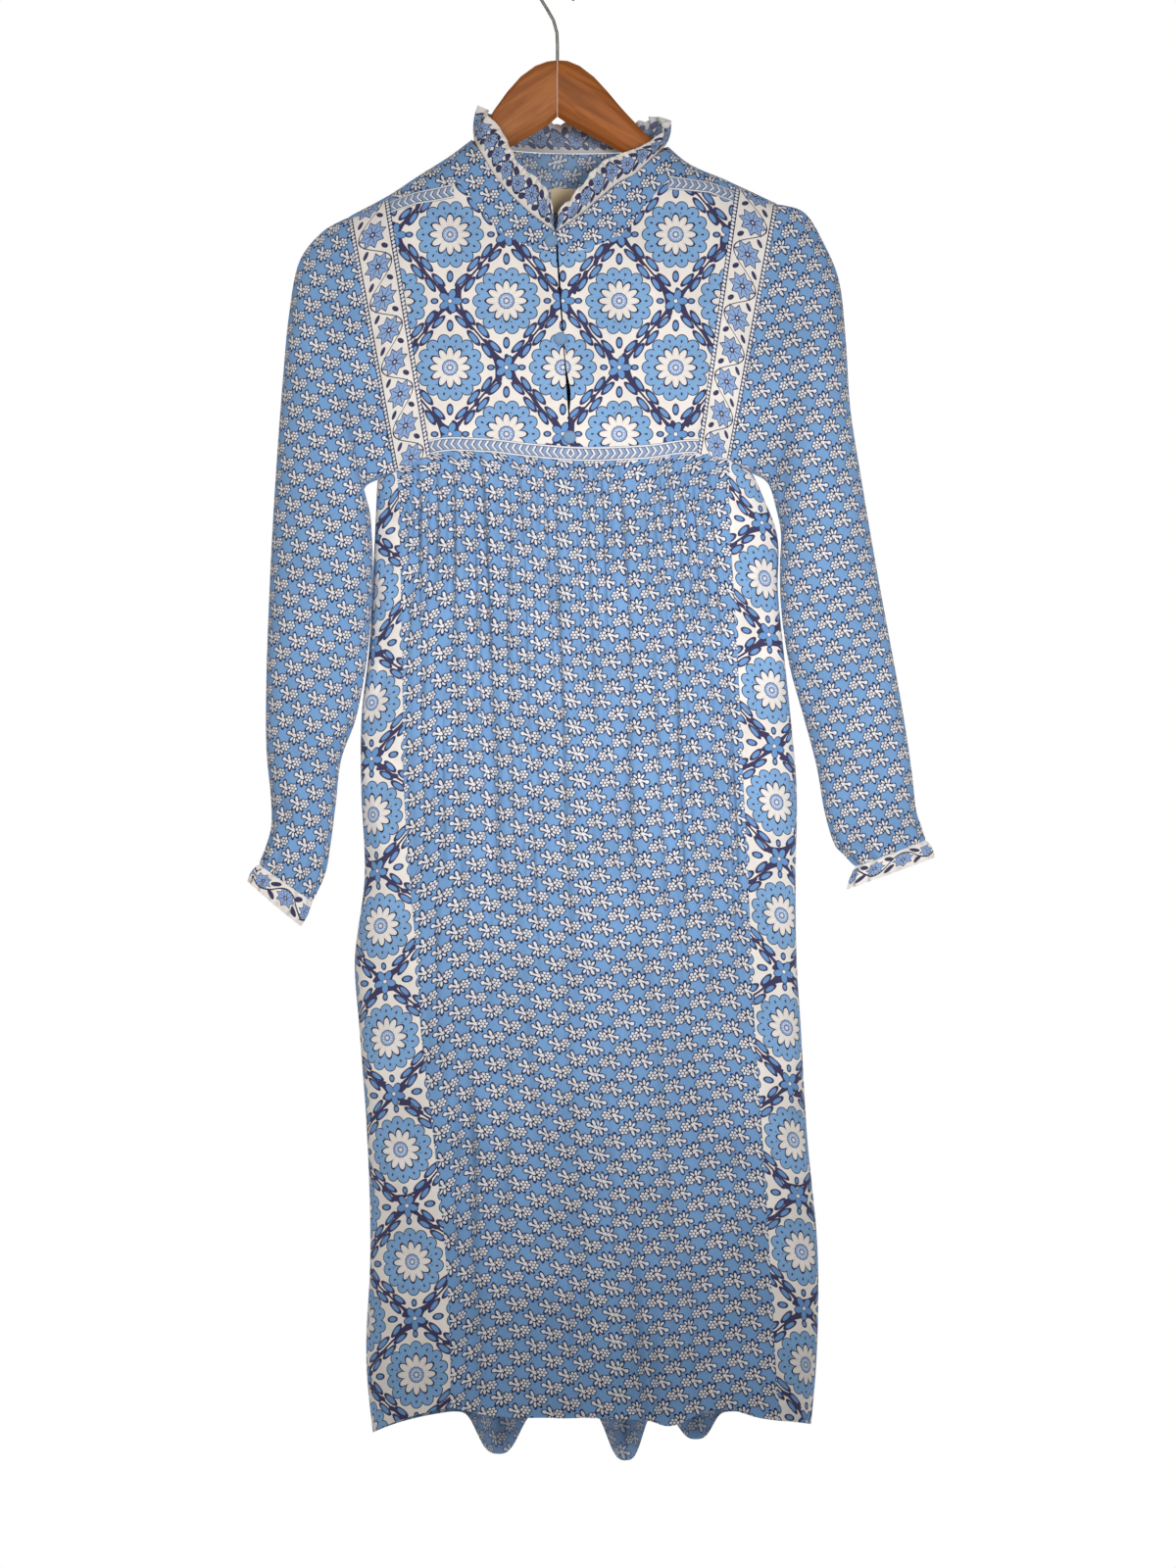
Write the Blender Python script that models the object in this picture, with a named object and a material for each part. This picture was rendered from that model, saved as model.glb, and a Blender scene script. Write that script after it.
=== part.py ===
# Long sleeve dress on a wooden hanger.
# Origin: inside top of the hook's crook. +Z up, the front faces -Y, metres.
# The tables give millimetres; MM turns them into metres.

import bisect
import functools
import math

import bmesh
import bpy
import numpy as np

MM = 0.001

# Cloth
WALL = 1.0 * MM
SEAM_HALF_GAP = 0.15 * MM
ARMHOLE_GAP = 0.8 * MM
GATHER_SEAM_GAP = 0.25 * MM
SMOOTH_ANGLE = 50.0

# Whole garment, read against the 12 mm buttons and the hanger
HANGER_COVER = 0.45 * MM
SHOULDER_ROUND = 45.0 * MM
SHOULDER_FACING_DROP = 3.0 * MM
BODY_SQUARENESS = 2.4
SLEEVES_SET_FORWARD = 2.0 * MM
YOKE_HEM_BACK = -440.0 * MM

# Shoulder line over the hanger: where it passes across the dress
RIDGE_COLUMNS = ("x", "z")
RIDGE_ROWS = (
    (-225, -243), (-206, -231), (-188, -221), (-150, -200.5), (-125, -184), (-98, -167),
    (-77, -151.5), (-60, -140), (-20, -130), (30, -130), (75, -139), (97, -155.5),
    (114, -170), (151, -187.5), (175, -198.5), (199, -209.5), (225, -217),
)

# Body edges, panel seams and half depths at each height
BODY_COLUMNS = ("z", "left", "right", "seam_left", "seam_right", "front", "back")
BODY_ROWS = (
    (-200, -236, 244, -156, 161, 31, 27),
    (-300, -203, 214, -137, 147, 33, 29),
    (-371, -181, 192, -125, 137, 34, 30),
    (-440, -162, 172, -146, 155, 34, 31),
    (-470, -163, 184, -143, 154.5, 35, 32),
    (-505, -164.5, 197.5, -142, 155.5, 36, 33),
    (-560, -167, 199, -141, 159, 38, 35),
    (-612, -170, 204, -140, 162, 40, 37),
    (-668, -176.5, 210, -139, 164.5, 42, 38),
    (-737, -177, 216, -138, 167.5, 44, 40),
    (-816, -174, 215, -133, 171.5, 46, 42),
    (-896, -183, 216, -126, 175, 48, 44),
    (-950, -179, 219.5, -123, 177.5, 49, 45),
    (-1045, -172, 225, -112, 184, 51, 48),
    (-1160, -169, 235, -100, 191, 53, 51),
    (-1250, -172.5, 234, -96, 196, 55, 54),
    (-1350, -163, 225, -97, 204, 57, 57),
)

# Lower seam of the front yoke
YOKE_HEM_COLUMNS = ("x", "z")
YOKE_HEM_ROWS = (
    (-150, -452), (-147, -451), (-130, -444), (-114, -437), (-67, -435), (-20, -440),
    (20, -443), (80, -441), (126, -436), (141, -438), (156, -441), (159, -442),
)

# Armhole lines, straight in the front view, from the shoulder tip to the yoke hem
ARMHOLE_LEFT_TOP = (-189.0 * MM, -221.5 * MM)
ARMHOLE_LEFT_LOW = (-147.0 * MM, -451.0 * MM)
ARMHOLE_RIGHT_TOP = (199.0 * MM, -209.5 * MM)
ARMHOLE_RIGHT_LOW = (156.0 * MM, -441.0 * MM)
UNDERARM_DROP = 12.0 * MM
UNDERARM_ROUNDNESS = 0.8
ARMHOLE_LINE_SHARE = 0.44
ARMHOLE_EVENNESS = 0.85

# Inner edges of the slanting border strips, top and bottom
BORDER_LEFT_TOP_X = -152.0 * MM
BORDER_LEFT_LOW_X = -114.0 * MM
BORDER_RIGHT_TOP_X = 160.5 * MM
BORDER_RIGHT_LOW_X = 126.0 * MM

# Front opening: a slit that leans to the right and gapes a little near its foot
OPENING_LOW_X = 13.0 * MM
OPENING_GAPE = 3.0 * MM
OPENING_GAPE_Z = -381.0 * MM
OPENING_GAPE_REACH = 16.0 * MM

# Round front neck: the seam to the large-print yoke below, and the edge above it.
# The upper edge of the first rows follows the shoulder line, so its height is left at 0.
SHOULDER_STATIONS = 3
NECK_COLUMNS = ("low_x", "low_z", "high_x", "high_z")
NECK_LEFT_ROWS = (
    (-151.4, -208.2, -151.9, 0),
    (-128, -200, -125, 0),
    (-106, -196, -98, 0),
    (-88, -192, -77.3, 0),
    (-83, -199, -71.5, -161),
    (-76, -208.5, -66, -170),
    (-67, -219.5, -58, -184),
    (-55, -233, -46, -199.5),
    (-38, -245, -30, -215.5),
    (-19, -252.5, -16, -227),
    (-1, -256, -2, -237),
)
NECK_RIGHT_ROWS = (
    (160, -198.6, 160.4, 0),
    (138, -190.5, 133, 0),
    (119, -188, 113, 0),
    (101.5, -186, 99.8, 0),
    (96, -193.5, 91, -165.5),
    (88, -202.5, 80, -176),
    (77, -216, 68, -186.5),
    (62, -236, 56, -192.5),
    (42, -246.5, 41, -204.5),
    (22, -253.5, 21, -222),
    (1, -256, -1, -237),
)

# Back neckline, with the two points where it crosses the shoulder line
BACK_NECK_COLUMNS = ("x", "z")
BACK_NECK_ROWS = (
    (-77, -152), (-75, -155), (-71, -158.5), (-62, -163), (-40, -168), (12, -171.5),
    (50, -170.5), (78, -166.5), (91, -162), (97, -159.5), (99.5, -158.5),
)

# Stand collar: base on the neckline, free edge, depth of the free edge
COLLAR_COLUMNS = ("base_x", "base_z", "side", "edge_x", "edge_y", "edge_z")
COLLAR_ROWS = (
    (-2.5, -236.5, 1, -3.5, -36, -219),
    (-16, -226.5, 1, -9, -38, -201),
    (-30, -215, 1, -20, -38, -188),
    (-46, -199, 1, -33, -37, -178),
    (-58, -183.5, 1, -40, -34, -166),
    (-66, -169.5, 1, -46, -28, -153),
    (-71.5, -160.5, 1, -54, -20, -140),
    (-76, -150.6, 0, -68.5, -2, -122),
    (-71, -158.5, -1, -62, 20, -129),
    (-62, -163, -1, -53, 31, -137),
    (-40, -168, -1, -36, 37, -142),
    (-14, -170.6, -1, -12, 40, -143.5),
    (12, -171.5, -1, 13, 41, -144),
    (50, -170.5, -1, 51, 38, -142),
    (78, -166.5, -1, 76, 31, -136),
    (91, -162, -1, 89, 20, -130),
    (98.4, -156.6, 0, 99, 2, -135),
    (91, -165, 1, 86, -20, -153),
    (80, -175.5, 1, 72, -29, -161),
    (68, -186, 1, 57, -34, -167),
    (56, -192, 1, 43, -36, -173),
    (41, -204, 1, 31, -38, -184),
    (21, -221.5, 1, 15, -38, -204),
    (-0.5, -236.5, 1, 0.5, -36, -219),
)
COLLAR_WAVES = 26
COLLAR_WAVE_DEPTH = 2.6 * MM
COLLAR_WAVE_GROWTH = 1.5
COLLAR_UNEVEN_WAVES = 3
COLLAR_UNEVEN_SHIFT = 1.5
COLLAR_BELLY = 2.5 * MM
COLLAR_LIFT = 0.4 * MM
COLLAR_NORMAL_STEP = 0.1

# Sleeves: outer and inner edge of each section in the front view, half depth and shift
SLEEVE_COLUMNS = ("outer_x", "outer_z", "inner_x", "inner_z", "half", "shift")
SLEEVE_LEFT_ROWS = (
    (-213, -237, -174, -467, 27, 0),
    (-233, -264, -169, -488, 31, -5),
    (-242, -312, -167, -512, 33, -8),
    (-247, -365, -166, -540, 33, -9),
    (-252, -430, -167, -570, 32, -9),
    (-256.5, -500, -169.5, -602, 30, -9),
    (-260, -570, -174, -636, 28, -7),
    (-262.5, -640, -182, -675, 26, -4),
    (-262.5, -700, -195, -711, 24, -2),
    (-258.5, -743, -200, -750, 22, 0),
    (-257.5, -770, -205, -786, 20, 0),
    (-262, -790, -210.5, -813, 18, 0),
    (-268, -806, -222, -838, 16, 0),
)
SLEEVE_RIGHT_ROWS = (
    (223, -219, 190, -462, 27, 0),
    (240, -246, 197, -484, 31, -5),
    (254, -281, 201.5, -508, 33, -8),
    (260, -335, 200.5, -536, 33, -9),
    (264, -395, 201, -566, 32, -9),
    (275, -465, 204.5, -600, 30, -9),
    (287, -535, 211, -634, 28, -7),
    (300, -605, 223, -676, 26, -4),
    (311, -665, 234, -718, 24, -2),
    (319, -718, 241, -757, 22, 0),
    (323, -756, 250, -786, 20, 0),
    (327, -771, 260, -797, 18, 0),
    (331, -784, 270, -807, 17, 0),
)
SLEEVE_WRIST_WAVES = 10
SLEEVE_WRIST_DEPTH = 1.6 * MM
SLEEVE_WRIST_REACH = 0.16
SLEEVE_HEAD_WAVES = 10
SLEEVE_HEAD_DEPTH = 2.4 * MM
SLEEVE_HEAD_START = 0.08
SLEEVE_HEAD_REACH = 0.11
SLEEVE_HEAD_WIDTH = 0.2
SLEEVE_STEPS_ROUND = 40

# Cuff ruffles: the free edge beyond the wrist seam
CUFF_COLUMNS = ("outer_x", "outer_z", "inner_x", "inner_z", "half", "shift")
CUFF_LEFT_ROWS = ((-278, -822, -233, -860, 20, 0),)
CUFF_RIGHT_ROWS = ((338, -800, 263, -827, 21, 0),)
CUFF_WAVES = 13
CUFF_WAVE_DEPTH = 2.4 * MM
CUFF_BELLY = 2.0 * MM
CUFF_SEAM_GAP = 0.35 * MM
CUFF_SEAM_STEP = 0.015

# Front skirt: hem height across the panel, left seam to right seam
FRONT_HEM_COLUMNS = ("u", "z")
FRONT_HEM_ROWS = (
    (0, -1292), (0.1, -1298), (0.3, -1301), (0.45, -1301), (0.58, -1303), (0.67, -1308.5),
    (0.76, -1297), (0.84, -1294), (0.94, -1302), (1, -1305),
)
FRONT_GATHERS = 22
FRONT_GATHER_DEPTH = 2.3 * MM

# Gathers start small at the seam and melt away; drift makes their spacing uneven
GATHER_DRIFT_COLUMNS = ("size", "waves")
GATHER_DRIFT_ROWS = ((0.012, 2.3), (0.007, 5.1))
GATHER_SEAM_SHARE = 0.35
GATHER_RISE = 14.0 * MM
GATHER_LOW_SHARE = 0.12
GATHER_FADE = 330.0 * MM
GATHER_FADE_POWER = 1.4
GATHER_UNEVEN = 0.25
GATHER_UNEVEN_WAVES = 3.7
FOLD_START = 40.0 * MM
SEAM_WINDOW = 0.05
SKIRT_TOP_ABOUT = -445.0 * MM
SKIRT_HEM_ABOUT = -1300.0 * MM

# Long soft folds of the front skirt: place across it at four heights, depth at three
FOLD_HEIGHTS = (-480, -733, -997, -1260)
FOLD_COLUMNS = ("x_top", "x_upper", "x_lower", "x_hem", "top", "middle", "hem", "half_width")
FRONT_FOLD_ROWS = (
    (-104, -91, -84, -76, -2, -5, -7, 9),
    (-78, -72, -60, -50, -3, -4, -2, 9),
    (-48, -56, -29, -13, -3, -5, -5, 11),
    (-8, 1, 6, 20, -4, -4, -4, 10),
    (26, 36, 64, 82, -3, -6, -13, 11),
    (50, 58, 85, 104, -3, -4, -7, 9),
    (92, 99, 111, 128, -3, -5, -5, 9),
    (132, 147, 139, 152, -2, -5, -3, 9),
)

# Back skirt: gathers, three deep flutes that push in towards the front, longer hem
BACK_GATHERS = 16
BACK_GATHER_DEPTH = 2.6 * MM
BACK_FOLD_ROWS = (
    (-95, -92, -88, -80, 2, 5, 9, 16),
    (-60, -58, -54, -52, -4, -9, -22, 18),
    (-10, -4, 2, 4, 2, 5, 9, 18),
    (52, 54, 56, 60, -4, -8, -21, 16),
    (92, 92, 92, 92, 2, 4, 7, 13),
    (128, 126, 126, 125, -3, -7, -17, 14),
)
BACK_HEM_LEVEL = -1303.0 * MM
BACK_HEM_DROP_COLUMNS = ("x", "drop", "half_width")
BACK_HEM_DROP_ROWS = ((-54, 37, 22), (60, 43, 18), (124, 24, 18))
BACK_HEM_DROP_ROUNDNESS = 3

# Side panels: hem height at the front seam, the side edge and the back seam
SIDE_HEM_LEFT = (-1292.0 * MM, -1318.0 * MM, -1303.0 * MM)
SIDE_HEM_RIGHT = (-1305.0 * MM, -1310.0 * MM, -1303.0 * MM)
SIDE_SWAY = 2.5 * MM
SIDE_SWAY_WAVES = 3.1
SIDE_SWAY_START = 0.2

# Covered buttons
BUTTON_DIAMETER = 12.0 * MM
BUTTON_PLACES = {
    "button_top": (-5.5 * MM, -245.0 * MM),
    "button_middle": (3.0 * MM, -333.0 * MM),
    "button_bottom": (11.0 * MM, -421.5 * MM),
}
BUTTON_CLEARANCE = 0.3 * MM
BUTTON_PROFILE_COLUMNS = ("radius", "height")
BUTTON_PROFILE_ROWS = ((0.46, 0.0), (0.5, 0.08), (0.47, 0.19), (0.36, 0.27), (0.17, 0.31))
BUTTON_STEPS_ROUND = 20

# Neck label inside the back neck
LABEL_LEFT = -6.0 * MM
LABEL_RIGHT = 17.0 * MM
LABEL_TOP = -199.0 * MM
LABEL_LOW = -219.0 * MM
LABEL_WALL = 1.0 * MM
LABEL_CLEARANCE = 0.35 * MM

# Hanger: one arm from the mitre outwards; the shoulder line gives the rest of its top
HANGER_COLUMNS = ("x", "top", "low", "half")
HANGER_LEFT_ROWS = (
    (0, -79, -131, 8), (-9, -80, -139, 8), (-20, -84, -146, 8), (-33, -93.5, -153, 8),
    (-45, -107, -160, 8), (-57.5, -124.5, -168, 8), (-67, -141.5, -174, 8),
    (-77, -153.8, -181, 8), (-98, -168.8, -196, 8), (-125, -185.9, -213, 8),
    (-150, -202.3, -228, 7.5), (-172, -214.3, -239, 7), (-186, -221.9, -244, 6),
    (-193, -226.5, -243, 4.5), (-197, -231, -239, 2),
)
HANGER_RIGHT_ROWS = (
    (0, -79, -131, 8), (9, -79.5, -137, 8), (20, -84, -143, 8), (33, -94, -150, 8),
    (45, -107, -156, 8), (57.5, -122, -163, 8), (76, -142, -173, 8),
    (97, -160.5, -187, 8), (114, -172, -197, 8), (132, -180.8, -206, 8),
    (151, -189.4, -214, 7.5), (175, -200.4, -224, 7), (194, -209.5, -231, 6),
    (201, -213.5, -230, 4.5), (206, -218, -226, 2),
)
HANGER_STEPS_ROUND = 14
HANGER_SQUARENESS = 2.3
MITRE_HALF_GAP = 0.15 * MM

# Hook: wire through these points, then an arc over the rail
HOOK_WIRE = 3.0 * MM
HOOK_INNER_RADIUS = 15.5 * MM
HOOK_STEM_FOOT = -79.7 * MM
HOOK_STEM_POINTS = ((0, -66), (-0.5, -55), (-3.5, -44), (-9.5, -33.5), (-14.8, -25))
HOOK_ARC_START = 170.0
HOOK_ARC_END = -38.0
HOOK_ARC_STEPS = 18
HOOK_STEPS_ROUND = 10

FRONT = 1
BACK = -1
NORMAL_STEP = 0.5 * MM
NORMAL_TURN_STEP = 0.01
NORMAL_SHARE_STEP = 0.002
FORWARD = (0, -1, 0)
BACKWARD = (0, 1, 0)

# Where the panels' grids have their rows and columns
SKIRT_ROWS = (0, 0.012, 0.035, 0.09, 0.2, 0.36, 0.56, 0.78, 1.0)
SLEEVE_ROWS = (0, 0.05, 0.12, 0.22, 0.34, 0.47, 0.6, 0.72, 0.84, 0.93, 1.0)
BACK_YOKE_COLUMNS = (-189, -170, -150, -125, -98, -84, -77, -76.2, -75, -72.5, -69, -62, -40,
                     -14, 12, 31, 50, 65, 78, 88, 94, 97.5, 98.8, 99.5, 106, 114, 132, 151,
                     175, 199)
BACK_YOKE_ROWS = (-1, -0.67, -0.33, 0, 0.03, 0.06, 0.1, 0.16, 0.25, 0.45, 0.72, 1.0)


def column(rows, names, name):
    """One named column of a table, in metres unless it is a plain number."""
    return np.array([row[names.index(name)] for row in rows], dtype=float)


def curve(xs, ys):
    """A smooth function through the points, straight beyond its ends."""
    pairs = sorted(zip([float(x) for x in xs], [float(y) for y in ys]))
    xs = [pair[0] for pair in pairs]
    ys = [pair[1] for pair in pairs]
    steps = [b - a for a, b in zip(xs, xs[1:])]
    slopes = [(b - a) / step for a, b, step in zip(ys, ys[1:], steps)]
    tangents = [slopes[0]]
    for k in range(1, len(slopes)):
        weighted = slopes[k - 1] * steps[k] + slopes[k] * steps[k - 1]
        tangents.append(weighted / (steps[k - 1] + steps[k]))
    tangents.append(slopes[-1])

    def read(x):
        if x <= xs[0]:
            return ys[0] + (x - xs[0]) * slopes[0]
        if x >= xs[-1]:
            return ys[-1] + (x - xs[-1]) * slopes[-1]
        i = bisect.bisect_right(xs, x) - 1
        t = (x - xs[i]) / steps[i]
        s = 1 - t
        value = ys[i] * (1 + 2 * t) * s * s + ys[i + 1] * t * t * (3 - 2 * t)
        return value + steps[i] * (tangents[i] * t * s * s - tangents[i + 1] * t * t * s)

    return read


def table_curve(rows, names, key, value):
    """Table read as a function; both columns are millimetres."""
    return curve(column(rows, names, key) * MM, column(rows, names, value) * MM)


ridge = table_curve(RIDGE_ROWS, RIDGE_COLUMNS, "x", "z")
yoke_hem = table_curve(YOKE_HEM_ROWS, YOKE_HEM_COLUMNS, "x", "z")
body = {name: table_curve(BODY_ROWS, BODY_COLUMNS, "z", name) for name in BODY_COLUMNS[1:]}


def lerp(a, b, t):
    return a + (b - a) * t


def side_fullness(x, z):
    """How full the body is at x: 1 in the middle, 0 at its side edge."""
    left, right = body["left"](z), body["right"](z)
    offset = min(abs((2 * x - left - right) / (right - left)), 1.0)
    return (1 - offset ** BODY_SQUARENESS) ** (1 / BODY_SQUARENESS)


def yoke_point(x, turn):
    """Yoke surface: turn is 0 on the shoulder line, 1 where the front has turned
    straight down and -1 where the back has."""
    size = abs(turn)
    if size <= 1:
        drop = 1 - math.cos(size * math.pi / 2)
        rounding = math.sin(size * math.pi / 2)
    else:
        drop = 1 + (size - 1) * math.pi / 2
        rounding = 1.0
    z = ridge(x) - drop * SHOULDER_ROUND
    depth = -body["front"](z) if turn > 0 else body["back"](z)
    return np.array([x, depth * side_fullness(x, z) * rounding, z])


def turn_at(x, z, side):
    """The turn that puts a point of the yoke at height z."""
    drop = (ridge(x) - z) / SHOULDER_ROUND
    if drop < 0:
        return -side * math.sqrt(-2 * drop) * 2 / math.pi
    if drop < 1:
        return side * math.acos(1 - drop) * 2 / math.pi
    return side * (1 + (drop - 1) * 2 / math.pi)


def on_yoke(x, z, side):
    return yoke_point(x, turn_at(x, z, side))


def yoke_normal(point):
    """Which way the yoke surface faces at one of its points."""
    x, y, z = point
    turn = turn_at(x, z, FRONT if y < 0 else BACK)
    aside = yoke_point(x + NORMAL_STEP, turn) - yoke_point(x - NORMAL_STEP, turn)
    down = yoke_point(x, turn + NORMAL_TURN_STEP) - yoke_point(x, turn - NORMAL_TURN_STEP)
    normal = np.cross(down, aside)
    return normal / np.linalg.norm(normal)


def bump(distance, half_width):
    """A soft hump, 1 at its middle."""
    return math.exp(-(distance / half_width) ** 2)


def fold_curves(rows):
    """Each long fold as its path down the panel, its depth and its half width."""
    heights = [z * MM for z in FOLD_HEIGHTS]
    made = []
    for row in rows:
        fold = dict(zip(FOLD_COLUMNS, row))
        path = [fold[name] * MM for name in ("x_top", "x_upper", "x_lower", "x_hem")]
        depths = [fold[name] * MM for name in ("top", "middle", "middle", "hem")]
        made.append((curve(heights, path), curve(heights, depths), fold["half_width"] * MM))
    return made


front_folds = fold_curves(FRONT_FOLD_ROWS)
back_folds = fold_curves(BACK_FOLD_ROWS)


def folds(made, x, z):
    """Depth of the long folds at a point: ridges stand out, troughs go in."""
    return sum(depth(z) * bump(x - path(z), half_width) for path, depth, half_width in made)


def gathers(u, count, depth, below_seam):
    """Small pleats that start at the seam, deepen and melt into the long folds."""
    spread = u + sum(size * math.sin(2 * math.pi * waves * u) for size, waves in GATHER_DRIFT_ROWS)
    rise = 1 - (1 - GATHER_SEAM_SHARE) * math.exp(-below_seam / GATHER_RISE)
    gone = 1 - math.exp(-(max(below_seam, 0.0) / GATHER_FADE) ** GATHER_FADE_POWER)
    fade = lerp(1, GATHER_LOW_SHARE, gone)
    uneven = 1 - GATHER_UNEVEN * (1 - math.sin(2 * math.pi * GATHER_UNEVEN_WAVES * u + 0.8))
    return depth * rise * fade * uneven * math.cos(2 * math.pi * count * spread)


def seam_window(u):
    """Keeps the folds off the panel's side seams."""
    share = min(1.0, max(0.0, min(u, 1 - u) / SEAM_WINDOW))
    return share * share * (3 - 2 * share)


def skirt_point(u, t, side, hem, top):
    """Front or back skirt panel: u across it, t from its top seam to its hem."""
    z_guess = lerp(SKIRT_TOP_ABOUT, SKIRT_HEM_ABOUT, t)
    x = lerp(body["seam_left"](z_guess), body["seam_right"](z_guess), u)
    seam = top(x) - GATHER_SEAM_GAP
    z = lerp(seam, hem(u, x), t)
    x = lerp(body["seam_left"](z), body["seam_right"](z), u)
    window = seam_window(u)
    if side == FRONT:
        wave = gathers(u, FRONT_GATHERS, FRONT_GATHER_DEPTH, seam - z)
        depth = body["front"](z) * side_fullness(x, z)
        depth += window * (wave + folds(front_folds, x, z) * min(1, (seam - z) / FOLD_START))
        return np.array([x, -depth, z])
    wave = gathers(u, BACK_GATHERS, BACK_GATHER_DEPTH, seam - z)
    depth = body["back"](z) * side_fullness(x, z)
    depth += window * (wave + folds(back_folds, x, z) * min(1, (seam - z) / FOLD_START))
    return np.array([x, depth, z])


front_hem_curve = curve(column(FRONT_HEM_ROWS, FRONT_HEM_COLUMNS, "u"),
                        column(FRONT_HEM_ROWS, FRONT_HEM_COLUMNS, "z") * MM)


def front_hem(u, x):
    return front_hem_curve(u)


def back_hem(u, x):
    z = BACK_HEM_LEVEL
    for row in BACK_HEM_DROP_ROWS:
        lobe = dict(zip(BACK_HEM_DROP_COLUMNS, row))
        away = abs(x - lobe["x"] * MM) / (lobe["half_width"] * MM)
        z -= lobe["drop"] * MM * math.exp(-away ** BACK_HEM_DROP_ROUNDNESS)
    return z


def body_side_point(hand, share, z):
    """Side of the body: share is 0 at the front seam, 0.5 near the edge, 1 at the back
    seam; hand is -1 for the left side and 1 for the right."""
    middle = 0.5 * (body["left"](z) + body["right"](z))
    half = 0.5 * (body["right"](z) - body["left"](z))
    seam = body["seam_left"](z) if hand < 0 else body["seam_right"](z)
    offset = min(abs((seam - middle) / half), 0.98)
    reach = math.acos(offset ** (BODY_SQUARENESS / 2))
    angle = reach * (2 * share - 1)
    x = middle + hand * half * math.cos(angle) ** (2 / BODY_SQUARENESS)
    depth = body["front"](z) if angle < 0 else body["back"](z)
    y = math.copysign(abs(math.sin(angle)) ** (2 / BODY_SQUARENESS), angle) * depth
    return np.array([x, y, z])


def side_panel_top(hand, share):
    """Height of the armhole's lowest part along the side panel."""
    low = ARMHOLE_LEFT_LOW[1] if hand < 0 else ARMHOLE_RIGHT_LOW[1]
    scoop = UNDERARM_DROP * math.sin(math.pi * share) ** UNDERARM_ROUNDNESS
    return lerp(low, YOKE_HEM_BACK, share) - scoop


def side_panel_point(hand, share, t):
    hem = curve((0.0, 0.5, 1.0), SIDE_HEM_LEFT if hand < 0 else SIDE_HEM_RIGHT)(share)
    top = side_panel_top(hand, share) if 0 <= share <= 1 else side_panel_top(hand, round(share))
    z = lerp(top, hem, t)
    point = body_side_point(hand, share, z)
    wave = math.sin(2 * math.pi * (SIDE_SWAY_WAVES * t + SIDE_SWAY_START * hand))
    across = math.sin(math.pi * min(max(share, 0), 1)) ** 2
    point[1] += SIDE_SWAY * wave * across * min(1, t / SIDE_SWAY_START)
    return point


def armhole_point(hand, turn):
    """Armhole edge: turn 0 at the shoulder tip, down the front to 0.5 under the arm,
    and up the back to 1."""
    turn = turn % 1.0
    top, low = ((ARMHOLE_LEFT_TOP, ARMHOLE_LEFT_LOW) if hand < 0
                else (ARMHOLE_RIGHT_TOP, ARMHOLE_RIGHT_LOW))
    side = FRONT if turn <= 0.5 else BACK
    part = turn if turn <= 0.5 else 1 - turn
    if part > ARMHOLE_LINE_SHARE:
        span = (0.5 - ARMHOLE_LINE_SHARE) * 2
        share = (turn - ARMHOLE_LINE_SHARE) / span
        return body_side_point(hand, share, side_panel_top(hand, share))
    down = part / ARMHOLE_LINE_SHARE
    down = 0.5 - 0.5 * math.cos(math.pi * down ** ARMHOLE_EVENNESS)
    x = lerp(top[0], low[0], down)
    z_top = float(ridge(top[0]))
    z_low = low[1] if side == FRONT else YOKE_HEM_BACK
    return on_yoke(x, lerp(z_top, z_low, down), side)


def ring_point(row, names, turn):
    """Oval section of a sleeve between its outer and inner edge."""
    ring = dict(zip(names, row))
    outer = np.array([ring["outer_x"], ring["shift"], ring["outer_z"]]) * MM
    inner = np.array([ring["inner_x"], ring["shift"], ring["inner_z"]]) * MM
    along = math.cos(2 * math.pi * turn)
    across = math.sin(2 * math.pi * turn)
    point = 0.5 * (outer + inner) + 0.5 * (outer - inner) * along
    point[1] -= SLEEVES_SET_FORWARD + ring["half"] * MM * across
    return point


@functools.lru_cache(maxsize=None)
def sleeve_line(hand, turn):
    """One line down the sleeve, from the armhole to the wrist seam, as three curves."""
    rows = SLEEVE_LEFT_ROWS if hand < 0 else SLEEVE_RIGHT_ROWS
    points = [armhole_point(hand, turn)]
    points += [ring_point(row, SLEEVE_COLUMNS, turn) for row in rows]
    places = range(len(points))
    return [curve(places, [point[k] for point in points]) for k in range(3)], len(points) - 1


def sleeve_plain(hand, turn, t):
    lines, last = sleeve_line(hand, turn)
    return np.array([line(t * last) for line in lines])


def sleeve_surface(hand, turn, t):
    """Sleeve with its gathers pushed out from the middle of the section: turn goes
    round it, t from the armhole (0) to the wrist seam (1)."""
    point = sleeve_plain(hand, turn, t)
    out = point - sleeve_plain(hand, turn + 0.5, t)
    wrist = bump(1 - t, SLEEVE_WRIST_REACH)
    head = min(max(t, 0) / SLEEVE_HEAD_START, 1.0) * math.exp(-t / SLEEVE_HEAD_REACH)
    head *= bump(min(turn % 1, 1 - turn % 1), SLEEVE_HEAD_WIDTH)
    wave = SLEEVE_WRIST_DEPTH * wrist * math.cos(2 * math.pi * SLEEVE_WRIST_WAVES * turn)
    wave += SLEEVE_HEAD_DEPTH * head * math.cos(2 * math.pi * SLEEVE_HEAD_WAVES * turn)
    return point + wave * out / np.linalg.norm(out)


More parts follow.
